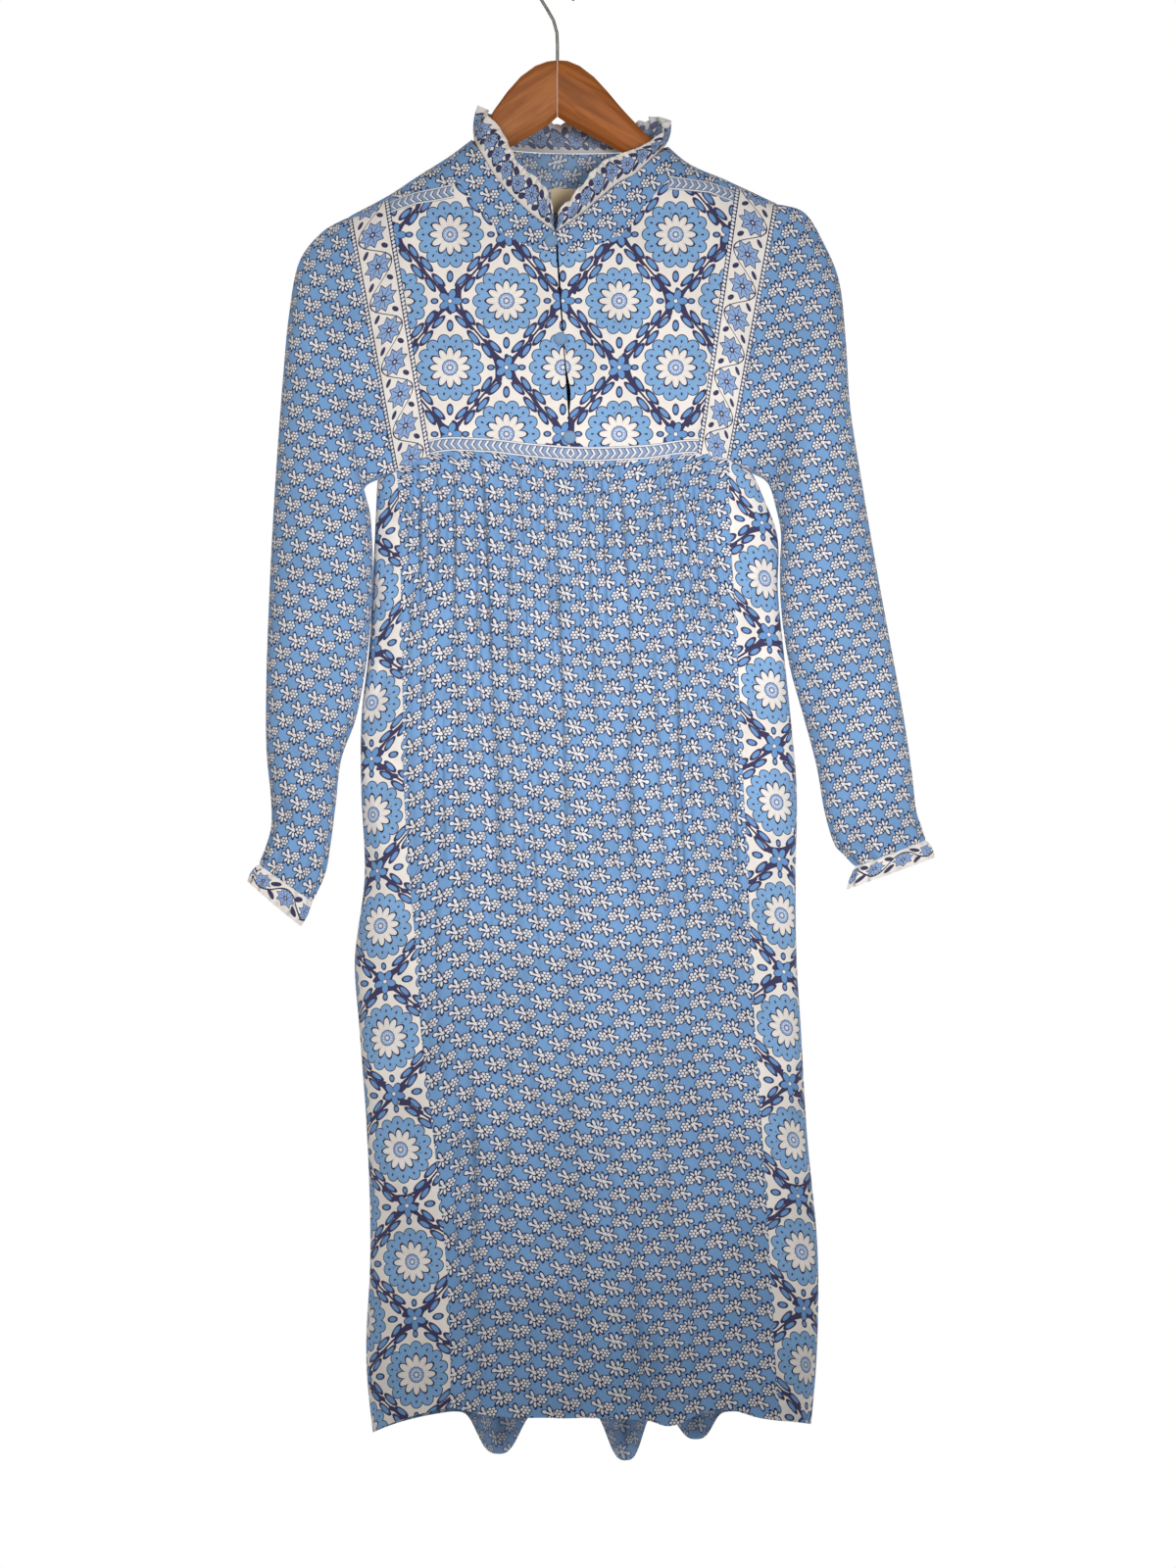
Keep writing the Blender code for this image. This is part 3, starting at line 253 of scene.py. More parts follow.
SLEEVE_HEAD_DEPTH = 2.4 * MM
SLEEVE_HEAD_START = 0.08
SLEEVE_HEAD_REACH = 0.11
SLEEVE_HEAD_WIDTH = 0.2

# Cuff ruffles: the free edge beyond the wrist seam
CUFF_ROWS = {
    LEFT: (-278, -822, -233, -860, 20, -2),
    RIGHT: (338, -800, 263, -827, 21, -2),
}
CUFF_WAVES = 13
CUFF_WAVE_DEPTH = 2.4 * MM
CUFF_WAVE_START = 0.5
CUFF_BELLY = 2.0 * MM

# Front skirt: hem height across the panel, left seam to right seam
FRONT_HEM_COLUMNS = ("u", "z")
FRONT_HEM_ROWS = (
    (0, -1292), (0.1, -1298), (0.3, -1301), (0.45, -1301), (0.58, -1303), (0.67, -1308.5),
    (0.76, -1297), (0.84, -1294), (0.94, -1302), (1, -1305),
)
FRONT_GATHERS = 22
FRONT_GATHER_DEPTH = 2.6 * MM
BACK_GATHERS = 16
BACK_GATHER_DEPTH = 3.4 * MM

# Gathers start small at the seam and melt away; drift makes their spacing uneven
GATHER_DRIFT_ROWS = ((0.012, 2.3), (0.007, 5.1))
GATHER_SEAM_SHARE = 0.35
GATHER_RISE = 14.0 * MM
GATHER_LOW_SHARE = 0.12
GATHER_FADE = 330.0 * MM
GATHER_FADE_POWER = 1.4
GATHER_UNEVEN = 0.25
GATHER_UNEVEN_WAVES = 3.7
GATHER_UNEVEN_START = 0.8
GATHER_SHARPNESS = 1.9
FOLD_START = 40.0 * MM
SEAM_WINDOW = 0.05
SKIRT_TOP_ABOUT = -445.0 * MM
SKIRT_HEM_ABOUT = -1300.0 * MM

# Long soft folds: place across the panel at four heights, depth at three
FOLD_HEIGHTS = (-480, -733, -997, -1260)
FOLD_COLUMNS = ("x_top", "x_upper", "x_lower", "x_hem", "top", "middle", "hem", "half_width")
FRONT_FOLD_ROWS = (
    (-104, -91, -84, -76, -2, -5, -7, 9),
    (-78, -72, -60, -50, -3, -4, -2, 9),
    (-48, -56, -29, -13, -3, -5, -5, 11),
    (-8, 1, 6, 20, -4, -4, -4, 10),
    (26, 36, 64, 82, -3, -6, -13, 11),
    (50, 58, 85, 104, -3, -4, -7, 9),
    (92, 99, 111, 128, -3, -5, -5, 9),
    (132, 147, 139, 152, -2, -5, -3, 9),
)
BACK_FOLD_ROWS = (
    (-95, -92, -88, -80, 2, 5, 9, 16),
    (-60, -58, -54, -52, -4, -9, -22, 18),
    (-10, -4, 2, 4, 2, 5, 9, 18),
    (52, 54, 56, 60, -4, -8, -21, 16),
    (92, 92, 92, 92, 2, 4, 7, 13),
    (128, 126, 126, 125, -3, -7, -17, 14),
)
BACK_HEM_LEVEL = -1303.0 * MM
BACK_HEM_DROP_ROWS = ((-54, 37, 22), (60, 43, 18), (124, 24, 18))
BACK_HEM_DROP_ROUNDNESS = 3

# Side panels: hem height at the front seam, the side edge and the back seam
SIDE_HEM = {
    LEFT: (-1292.0 * MM, -1318.0 * MM, -1303.0 * MM),
    RIGHT: (-1305.0 * MM, -1310.0 * MM, -1303.0 * MM),
}
SIDE_SWAY = 2.5 * MM
SIDE_SWAY_WAVES = 3.1
SIDE_SWAY_START = 0.2

# Finer grids of the visible sheets: cells across and down, and about how large a sheet is
SKIRT_CELLS = (320, 105)
SKIRT_ABOUT = (330 * MM, 860 * MM)
SIDE_CELLS = (56, 150)
SIDE_ABOUT = (90 * MM, 860 * MM)
NECK_CELLS = (56, 12)
NECK_ABOUT = (200 * MM, 30 * MM)
YOKE_CELLS = (60, 76)
YOKE_ABOUT = (160 * MM, 200 * MM)
BORDER_CELLS = (12, 70)
BORDER_ABOUT = (35 * MM, 230 * MM)
BACK_YOKE_CELLS = (130, 56)
BACK_YOKE_LENGTH = 250 * MM
BACK_YOKE_FRONT_ROWS = 12
COLLAR_CELLS = (426, 12)
SLEEVE_CELLS = (120, 140)
SLEEVE_LENGTH = 600 * MM
CUFF_CELLS = (208, 12)
LABEL_CELLS = 24
LEAST_CELL = 0.1 * MM
FAR_AWAY = 1000 * MM

# Widths of cloth and of printed strips on the flat, and how prints lie on the pieces
OPENING_MIDDLE = 5 * MM
BORDER_WIDTH = 35 * MM
COLLAR_WIDTH = 26 * MM
CUFF_WIDTH = 30 * MM
SIDE_PRINT_SHIFT = 32 * MM
SKIRT_PRINT_SHARE = 0.85
SLEEVE_PRINT_OFF = 1000 * MM
SLEEVE_HEAD_SHARE = 0.35
BACK_YOKE_PRINT_SHIFT = 1000 * MM
SHOULDER_BAND_SHARE = 0.34

# Creases, one by one: place, lean from upright in degrees, half length, half width, depth
CREASE_STRENGTH = 1.5
CREASE_BEND = 0.7
CREASE_EDGE_ROWS = 4
FRONT_CREASES = (
    (-128, -520, -4, 70, 3.5, -2.6), (-113, -535, -3, 95, 3.5, -3.3),
    (-96, -525, -1, 110, 3.5, -2.9), (-76, -530, 1, 120, 4, -4.1), (-66, -560, 2, 130, 4, -3.2),
    (-44, -505, 0, 60, 3, -2.3), (-30, -545, 2, 90, 3.5, -2.3), (-6, -545, 5, 125, 3, -4.3),
    (21, -535, 4, 105, 3.5, -3.3), (40, -500, 3, 55, 3, -2.3), (60, -560, 3, 130, 4.5, -3.5),
    (84, -520, 2, 80, 3.5, -2.6), (103, -545, 3, 110, 4.5, -3.5), (122, -510, 4, 60, 3.5, -2.6),
    (140, -530, 4, 80, 4, -2.9), (157, -750, 3.5, 150, 3, -4.2), (57, -745, 3, 170, 7, -3.8),
    (104, -760, 3, 180, 8, -3.8), (-24, -760, 1, 170, 7, -3.2), (-60, -780, -1, 180, 7, -3.5),
    (-106, -760, -2, 170, 6, -3.5), (18, -820, 2, 160, 8, 1.8), (130, -800, 4, 150, 7, 1.6),
    (-84, -900, -2, 150, 8, 1.6), (-48, -1010, -1, 150, 9, -3.8), (-4, -1040, 1, 150, 9, -3.5),
    (44, -1030, 1, 160, 9, -4.2), (88, -1060, 2, 150, 9, -3.5), (-82, -1100, -1, 120, 8, -3.5),
    (128, -1100, 3, 120, 8, -3.5), (166, -1090, 3, 120, 7, -2.9), (-24, -1170, 0, 100, 9, 2),
    (64, -1190, 1, 90, 9, 2), (20, -1220, 0, 70, 7, -3.2), (108, -1220, 2, 70, 8, 2),
    (-62, -1220, -1, 70, 8, 1.8),
)
BACK_CREASES = (
    (-70, -560, 4, 90, 5, -1.0), (-22, -590, 1, 110, 5, -0.9), (35, -555, -3, 90, 5, -1.0),
    (88, -610, -4, 120, 5, -0.9), (-100, -720, 5, 110, 6, 0.9), (10, -780, 0, 130, 6, -0.9),
    (70, -850, -3, 120, 6, 0.8), (-50, -930, 3, 130, 6, -0.9), (120, -960, -5, 110, 6, -0.8),
    (-15, -1090, 1, 110, 7, 0.9), (45, -1180, -2, 90, 6, -0.9), (-80, -1200, 4, 80, 6, -0.8),
)
YOKE_CREASES = {
    LEFT: ((-60, -300, 10, 40, 6, 0.5), (-95, -350, 15, 45, 7, -0.5),
           (-30, -390, 4, 35, 5, -0.5), (-110, -260, 30, 30, 6, -0.4)),
    RIGHT: ((60, -310, -8, 45, 6, 0.5), (100, -345, -14, 40, 7, -0.5),
            (35, -385, -5, 35, 5, -0.5), (112, -270, -30, 30, 6, -0.4)),
}
BACK_YOKE_CREASES = (
    (-90, -300, 12, 60, 8, -0.6), (0, -340, 2, 60, 8, 0.6), (95, -310, -12, 55, 8, -0.6),
    (-45, -390, 5, 40, 7, -0.5), (50, -400, -5, 40, 7, 0.5),
)
SIDE_CREASES = {
    LEFT: ((-152, -490, 40, 22, 5, -1.2), (-155, -560, 12, 40, 5, 1.0),
           (-158, -640, -14, 45, 5, -1.1), (-150, -710, 55, 22, 6, -1.2),
           (-160, -770, 10, 45, 6, 1.1), (-152, -835, 70, 22, 6, -1.3),
           (-158, -905, 62, 24, 6, -1.3), (-150, -960, -20, 38, 6, 1.1),
           (-156, -1020, 74, 26, 6, -1.4), (-150, -1075, 40, 28, 6, 1.1),
           (-148, -1120, 80, 26, 6, -1.4), (-142, -1175, -28, 34, 6, -1.2),
           (-140, -1230, 66, 26, 6, -1.3), (-138, -1275, 20, 30, 6, 1.0)),
    RIGHT: ((168, -485, -42, 24, 5, -1.2), (178, -545, -15, 40, 5, 1.0),
            (172, -600, 65, 26, 6, -1.3), (180, -665, -10, 45, 6, -1.1),
            (184, -720, 74, 24, 6, -1.2), (188, -790, 12, 45, 6, 1.1),
            (190, -850, -62, 26, 6, -1.3), (196, -915, -16, 40, 6, -1.1),
            (198, -980, -74, 26, 6, -1.4), (203, -1040, -30, 32, 6, 1.1),
            (206, -1100, -80, 26, 6, -1.4), (208, -1160, 25, 34, 6, -1.2),
            (210, -1220, -70, 26, 6, -1.3), (212, -1270, -20, 30, 6, 1.0)),
}
SLEEVE_CREASES = {
    LEFT: ((-186, -330, 12, 55, 4.5, -1.3), (-205, -390, 8, 80, 6, -1.1),
           (-222, -300, -10, 50, 6, 1.0), (-190, -480, 4, 75, 5, -1.4),
           (-226, -520, 6, 70, 7, 1.0), (-205, -570, -22, 40, 5, -1.4),
           (-190, -625, -55, 26, 5, -1.6), (-222, -650, -38, 34, 6, -1.3),
           (-205, -690, -50, 30, 5, 1.3), (-245, -640, 8, 50, 6, -0.9),
           (-228, -730, 14, 45, 5, -1.3), (-240, -770, 20, 30, 4, -1.2),
           (-215, -765, 4, 30, 4, 1.0)),
    RIGHT: ((194, -320, -12, 50, 4.5, -1.3), (214, -385, -8, 80, 6, -1.1),
            (232, -300, 8, 50, 6, 1.0), (200, -480, -6, 75, 5, -1.4),
            (240, -520, -8, 70, 7, 1.0), (226, -580, 20, 40, 5, -1.4),
            (222, -640, 50, 28, 5, -1.6), (262, -650, 30, 36, 6, -1.3),
            (246, -690, 45, 30, 5, 1.3), (285, -640, -14, 50, 6, -0.9),
            (268, -720, -14, 45, 5, -1.3), (290, -735, -18, 34, 4, -1.2),
            (276, -755, -10, 30, 4, 1.0)),
}
SLEEVE_BACK_CREASES = {
    LEFT: ((-190, -350, 10, 60, 6, -1.2), (-215, -470, 6, 80, 7, 1.1),
           (-195, -600, -40, 34, 6, -1.5), (-225, -680, -30, 34, 6, 1.2),
           (-235, -745, 14, 40, 5, -1.2)),
    RIGHT: ((200, -350, -10, 60, 6, -1.2), (225, -470, -6, 80, 7, 1.1),
            (232, -610, 40, 34, 6, -1.5), (262, -680, 28, 34, 6, 1.2),
            (280, -735, -14, 40, 5, -1.2)),
}

# Blank label inside the back neck
LABEL_LEFT = -6 * MM
LABEL_RIGHT = 17 * MM
LABEL_TOP = -194 * MM
LABEL_LOW = -216 * MM
LABEL_WALL = 0.8 * MM
LABEL_CLEARANCE = 1.2 * MM

# Sprig print, in millimetres from a sprig's middle: lobes as middle, radii and lean
SPRIG_CELL = (26.3, 24.0)
SPRIG_LOBES = (
    ((-7.1, 1.8), (1.7, 1.7), 0), ((-4.6, 0.9), (2.5, 0.85), -20), ((-3.0, 4.2), (1.2, 2.7), 20),
    ((-1.3, 0.2), (2.1, 1.6), 0), ((-3.8, -3.3), (0.95, 2.1), -32), ((-1.0, -4.4), (1.0, 2.4), 2),
    ((2.0, -3.8), (0.9, 1.9), 38), ((0.8, 2.2), (0.9, 1.4), -35),
)
SPRIG_LINE = 0.95
FLORET = (4.6, 1.1)
FLORET_DOTS = 6
FLORET_REACH = 2.9
FLORET_DOT = 1.2
FLORET_LINE = 0.8

# Generic large print, in millimetres: trellis of vines with thorns and leaves
TRELLIS_SCALE = 1.3
TRELLIS_CELL = (78.0, 92.0)
TRELLIS_LEAVES = (((16.4, 20.4), (4.5, 1.6), -50), ((25.4, 11.6), (3.9, 1.4), -56),
                  ((8.0, 31.5), (3.9, 1.4), -44), ((0.0, 29.0), (1.5, 2.6), 0),
                  ((28.3, 0.0), (1.6, 1.2), 0))
LEAF_LINE = 0.9
VINE_SIZE = 0.07
THORN_SIZE = 0.13
THORN_TURN = 0.62
THORN_LEAN = 0.3

# Its small flowers, where vines cross
FLOWER_PETALS = 5
FLOWER_REACH = 4.6
FLOWER_PETAL = (3.4, 2.2)
FLOWER_EYE = 1.3
FLOWER_EYE_LINE = 0.4
FINE_LINE = 0.5

# Its medallions: a scalloped rim with marks, and a daisy whose petals have three layers
SCALLOPS = 14
SCALLOP_REACH = 18.6
SCALLOP_SIZE = (4.3, 4.085)
SCALLOP_LINE = 0.6
SCALLOP_MARKS = ((18.6, (1.1, 0.66)), (15.0, (0.6, 0.36)))
DAISY_PETALS = 12
DAISY_REACH = 9.2
DAISY_LAYERS = (("cloth", (4.6, 2.2), 0.65), ("petal", (3.85, 1.45), 0.0),
                ("cloth", (3.6, 1.2), 0.0))
DAISY_DISC = 5.0
DAISY_DOTS = 11
DAISY_DOT_REACH = 3.2
DAISY_DOT = (0.6, 0.6)
DAISY_EYE = 1.4

# Chevron band, in millimetres; its edge lines as distance from the edge and colour
BAND_WIDTH = 13.0
BAND_EDGES = ((2.2, "band_line"), (1.7, "ivory"), (0.3, "band_line"))
CHEVRON_STEP = 6.2
CHEVRON_LEAN = 0.75
CHEVRON_LINE = 0.075

# Printed strips, in millimetres: step of the stars, sway of the vine, reach of a star,
# width of the vine's line, radii of a leaf, and whether there are beads
BORDER_STRIP = (29.0, 12.0, 11.0, 0.55, (3.0, 1.5), True)
RUFFLE_STRIP = (18.0, 8.5, 8.4, 1.1, (4.2, 2.1), False)
CUFF_STRIP = (28.0, 9.5, 9.6, 1.1, (5.4, 2.4), False)
STRIP_FAR = 400.0
STRIP_LEAF_SHARE = 0.75
STRIP_LEAF_LEAN = 38
STRIP_LEAF_LINE = 0.3
STAR_POINTS = 8
STAR_SLOPE = 1.5
STAR_FALL = 0.42
STAR_LINE = 0.55
STAR_VEIN = 0.28
STAR_VEIN_SHARE = 0.72
STAR_EYE_SHARE = 0.2
STAR_EYE_LINE = 0.2
STAR_PIP_SHARE = 0.09
BEAD_AT = 15.6
BEAD_PITCH = 3.5
BEAD_SIZE = (1.4, 1.4)
BEAD_BAND = 2.1

# Colours of the prints and finishes
BLUE_GROUND = "#79A3D3"
IVORY = "#E6E6EA"
IVORY_CLOTH = "#F2ECE6"
NAVY_LINE = "#2D2C4E"
NAVY = "#3E3A5F"
MEDALLION = "#84AEDA"
LEAF_BLUE = "#6E9BD0"
PERIWINKLE = "#93AFDB"
PETAL_SHADE = "#D9D3D8"
BAND_BLUE = "#8CA4C8"
BAND_LINE = "#3F4668"
REVERSE = "#9DB2CE"
# Label satin: its own tone painted brighter, as painted light for the shade inside the back neck
LABEL_SATIN_WITH_PAINTED_LIGHT = ("#FFD9A6", "#FFF0CC")
BUTTON_COTTON = ("#7396BC", "#84A6C9")
LIGHT_WOOD = ("#9A582A", "#BF773B")
DARK_WOOD = ("#8B4E1E", "#C37030")
ZINC = ("#7A7A74", "#A2A29C")
WHITE = "#FFFFFF"

# Finishes: shares and heights, turns of the thread to a millimetre, repeats to a metre
REVERSE_FADE = 0.3
DYE_PATCHES = 0.02
DYE_RANGE = (0.93, 1.05)
NOISE_RANGE = (0.3, 0.7)
THREAD_TURNS = 0.8
THREAD_SHARE = 0.03
CRINKLE = 0.6 * MM
CRINKLE_REPEATS = 38.0
FINE_CRINKLE_REPEATS = 110.0
FINE_CRINKLE_SHARE = 0.35
RIB_TURNS = 0.55
WEAVE_REPEATS = 1800.0
GRAIN_REPEATS = (9.0, 60.0, 95.0)
GRAIN_RANGE = (0.34, 0.66)
PORE_REPEATS = (60.0, 600.0, 900.0)
PORE_RANGE = (0.6, 0.75)
PORE_SHARE = 0.5
WOOD_LEANS = (33, -30)
POLISH_REPEATS = 260.0
WIRE_ROUGHNESS = (0.28, 0.45)

# Camera: the photograph's scale, and the middle of its view
PHOTO_MM = 0.88
PHOTO_HEIGHT = 1600
VIEW_MIDDLE = (27.6 * MM, 0.0, -733 * MM)
DRESS_FRONT = -35 * MM
CAMERA_AWAY = 7000 * MM
SENSOR = 36.0
LEVEL = math.radians(90)

# White sweep, far enough behind for views from every side
FLOOR_LEVEL = -1500 * MM
WALL_BEHIND = 12000 * MM
WALL_TOP = 11000 * MM
SWEEP_START = -100 * MM
SWEEP_CURVE = 400 * MM
SWEEP_STEPS = 8
SWEEP_HALF_WIDTH = 12000 * MM

# Lights, in metres: a soft beam, and rectangles with name, place, aim, size and colour
BEAM_PLACE = (0.6276, -2.15, -0.35)
BEAM_AIM = (0.0476, 0.0, -0.66)
BEAM_SOFTNESS = 0.35
BEAM_ANGLE = math.radians(39)
PANEL_LIGHTS = {
    "key": ("light_front", (-0.9, -1.7, 0.3), (0.0, 0.0, -0.5), (1.0, 1.0), "#FFFAF3"),
    "fill": ("light_side", (1.9, -1.3, -0.3), VIEW_MIDDLE, (1.0, 1.6), "#F4F8FF"),
    "low": ("light_low", (-1.9, -1.0, -0.7), VIEW_MIDDLE, (0.6, 1.6), "#FFFFFF"),
}



def column(rows, names, name):
    """One named column of a table."""
    return np.array([row[names.index(name)] for row in rows], dtype=float)


def curve(xs, ys):
    """A smooth function through points (numbers or places in space), straight beyond its ends."""
    order = np.argsort(np.asarray(xs, dtype=float), kind="stable")
    xs = np.asarray(xs, dtype=float)[order]
    ys = np.asarray(ys, dtype=float)[order]
    tail = (Ellipsis,) + (None,) * (ys.ndim - 1)
    steps = np.diff(xs)
    slopes = np.diff(ys, axis=0) / steps[tail]
    before, after = steps[:-1][tail], steps[1:][tail]
    inner = (slopes[:-1] * after + slopes[1:] * before) / (before + after)
    tangents = np.concatenate([slopes[:1], inner, slopes[-1:]])

    def read(x):
        x = np.asarray(x, dtype=float)
        i = np.clip(np.searchsorted(xs, x, side="right") - 1, 0, len(xs) - 2)
        h = steps[i][tail]
        t = ((x - xs[i]) / steps[i])[tail]
        s = 1 - t
        value = ys[i] * (1 + 2 * t) * s * s + ys[i + 1] * t * t * (3 - 2 * t)
        value = value + h * (tangents[i] * t * s * s - tangents[i + 1] * t * t * s)
        value = np.where((x < xs[0])[tail], ys[0] + (x - xs[0])[tail] * slopes[0], value)
        return np.where((x > xs[-1])[tail], ys[-1] + (x - xs[-1])[tail] * slopes[-1], value)

    return read


def table_curve(rows, names, key, value):
    """Table read as a function; both columns are millimetres."""
    return curve(column(rows, names, key) * MM, column(rows, names, value) * MM)


ridge = table_curve(RIDGE_ROWS, RIDGE_COLUMNS, "x", "z")
yoke_hem = table_curve(YOKE_HEM_ROWS, YOKE_HEM_COLUMNS, "x", "z")
back_neck = table_curve(BACK_NECK_ROWS, BACK_NECK_COLUMNS, "x", "z")
body = {name: table_curve(BODY_ROWS, BODY_COLUMNS, "z", name) for name in BODY_COLUMNS[1:]}
front_hem = curve(column(FRONT_HEM_ROWS, FRONT_HEM_COLUMNS, "u"),
                  column(FRONT_HEM_ROWS, FRONT_HEM_COLUMNS, "z") * MM)
FACING_TURN = math.acos(1 - SHOULDER_FACING_DROP / SHOULDER_ROUND) * 2 / math.pi


def lerp(a, b, t):
    return a + (b - a) * t


def bump(distance, half_width):
    """A soft hump, 1 at its middle."""
    return np.exp(-(distance / half_width) ** 2)


def seam_of(z, hand):
    return body["seam_left"](z) if hand == LEFT else body["seam_right"](z)


def side_fullness(x, z):
    """How full the body is at x: 1 in the middle, 0 at its side edge."""
    left, right = body["left"](z), body["right"](z)
    offset = np.minimum(np.abs((2 * x - left - right) / (right - left)), 1.0)
    return (1 - offset ** BODY_SQUARENESS) ** (1 / BODY_SQUARENESS)


def yoke_point(x, turn):
    """Yoke surface: turn is 0 on the shoulder line, 1 where the front has turned
    straight down and -1 where the back has."""
    size = np.abs(turn)
    curled = size <= 1
    arc = np.minimum(size, 1) * math.pi / 2
    drop = np.where(curled, 1 - np.cos(arc), 1 + (size - 1) * math.pi / 2)
    rounding = np.where(curled, np.sin(arc), 1.0)
    z = ridge(x) - drop * SHOULDER_ROUND
    depth = np.where(turn > 0, -body["front"](z), body["back"](z))
    return np.stack([x + 0 * z, depth * side_fullness(x, z) * rounding, z], axis=-1)


def turn_at(x, z, side):
    """The turn that puts a point of the yoke at height z."""
    drop = (ridge(x) - z) / SHOULDER_ROUND
    over = -side * np.sqrt(np.maximum(-2 * drop, 0)) * 2 / math.pi
    curled = side * np.arccos(np.clip(1 - drop, 0, 1)) * 2 / math.pi
    straight = side * (1 + (drop - 1) * 2 / math.pi)
    return np.where(drop < 0, over, np.where(drop < 1, curled, straight))


def on_yoke(x, z, side):
    return yoke_point(x, turn_at(x, z, side))


def fold_curves(rows):
    """Each long fold as its path down the panel, its depth and its half width."""
    heights = [z * MM for z in FOLD_HEIGHTS]
    made = []
    for row in rows:
        fold = dict(zip(FOLD_COLUMNS, row))
        path = [fold[name] * MM for name in ("x_top", "x_upper", "x_lower", "x_hem")]
        depths = [fold[name] * MM for name in ("top", "middle", "middle", "hem")]
        made.append((curve(heights, path), curve(heights, depths), fold["half_width"] * MM))
    return made


def folds(made, x, z):
    """Depth of the long folds at a point: ridges stand out, troughs go in."""
    return sum(depth(z) * bump(x - path(z), half_width) for path, depth, half_width in made)


def gathers(u, count, depth, below_seam):
    """Small pleats that start at the seam, deepen and melt into the long folds. Their
    crests are broad and their troughs narrow."""
    spread = u + sum(size * np.sin(2 * math.pi * waves * u) for size, waves in GATHER_DRIFT_ROWS)
    rise = 1 - (1 - GATHER_SEAM_SHARE) * np.exp(-below_seam / GATHER_RISE)
    gone = 1 - np.exp(-(np.maximum(below_seam, 0.0) / GATHER_FADE) ** GATHER_FADE_POWER)
    fade = lerp(1, GATHER_LOW_SHARE, gone)
    swing = np.sin(2 * math.pi * GATHER_UNEVEN_WAVES * u + GATHER_UNEVEN_START)
    uneven = 1 - GATHER_UNEVEN * (1 - swing)
    hollow = 0.5 - 0.5 * np.cos(2 * math.pi * count * spread)
    return depth * rise * fade * uneven * (1 - 2 * hollow ** GATHER_SHARPNESS)


def seam_window(u):
    """Keeps the folds off the panel's side seams."""
    share = np.clip(np.minimum(u, 1 - u) / SEAM_WINDOW, 0, 1)
    return share * share * (3 - 2 * share)


def back_hem(x):
    """The longer hem of the back, with the rounded drops that show below the front."""
    z = BACK_HEM_LEVEL
    for place, drop, half_width in BACK_HEM_DROP_ROWS:
        away = np.abs(x - place * MM) / (half_width * MM)
        z = z - drop * MM * np.exp(-away ** BACK_HEM_DROP_ROUNDNESS)
    return z


# The skirt panels' pleats: number and depth of their gathers, and their long folds
PLEATS = {
    FRONT: (FRONT_GATHERS, FRONT_GATHER_DEPTH, fold_curves(FRONT_FOLD_ROWS)),
    BACK: (BACK_GATHERS, BACK_GATHER_DEPTH, fold_curves(BACK_FOLD_ROWS)),
}


def skirt_surface(u, t, side):
    """Front or back skirt panel: u across it, t from its top seam to its hem."""
    about = lerp(SKIRT_TOP_ABOUT, SKIRT_HEM_ABOUT, t)
    x = lerp(seam_of(about, LEFT), seam_of(about, RIGHT), u)
    top = yoke_hem(x) if side == FRONT else YOKE_HEM_BACK + 0 * x
    hem = front_hem(u) if side == FRONT else back_hem(x)
    seam = top - NEIGHBOUR_GAP
    z = lerp(seam, hem, t)
    x = lerp(seam_of(z, LEFT), seam_of(z, RIGHT), u)
    count, gather_depth, long_folds = PLEATS[side]
    wave = gathers(u, count, gather_depth, seam - z)
    wave = wave + folds(long_folds, x, z) * np.minimum(1, (seam - z) / FOLD_START)
    reach = body["front" if side == FRONT else "back"](z)
    depth = reach * side_fullness(x, z) + seam_window(u) * wave
    return np.stack([x, -side * depth, z], axis=-1)


def body_side_point(hand, share, z):
    """Side of the body: share is 0 at the front seam, 0.5 near the edge, 1 at the back seam."""
    middle = 0.5 * (body["left"](z) + body["right"](z))
    half = 0.5 * (body["right"](z) - body["left"](z))
    offset = np.minimum(np.abs((seam_of(z, hand) - middle) / half), SEAM_OFFSET_MOST)
    angle = np.arccos(offset ** (BODY_SQUARENESS / 2)) * (2 * share - 1)
    x = middle + hand * half * np.cos(angle) ** (2 / BODY_SQUARENESS)
    depth = np.where(angle < 0, body["front"](z), body["back"](z))
    y = np.sign(angle) * np.abs(np.sin(angle)) ** (2 / BODY_SQUARENESS) * depth
    return np.stack([x, y, z + 0 * x], axis=-1)


def side_panel_top(hand, share):
    """Height of the armhole's lowest part along the side panel."""
    low = ARMHOLE_LOW[hand][1]
    scoop = UNDERARM_DROP * np.sin(math.pi * np.clip(share, 0, 1)) ** UNDERARM_ROUNDNESS
    return lerp(low, YOKE_HEM_BACK, share) - scoop


def side_panel_surface(u, t, hand):
    hem = curve((0.0, 0.5, 1.0), SIDE_HEM[hand])(u)
    point = body_side_point(hand, u, lerp(side_panel_top(hand, u), hem, t))
    wave = np.sin(2 * math.pi * (SIDE_SWAY_WAVES * t + SIDE_SWAY_START * hand))
    across = np.sin(math.pi * u) ** 2
    point[..., 1] += SIDE_SWAY * wave * across * np.minimum(1, t / SIDE_SWAY_START)
    return point


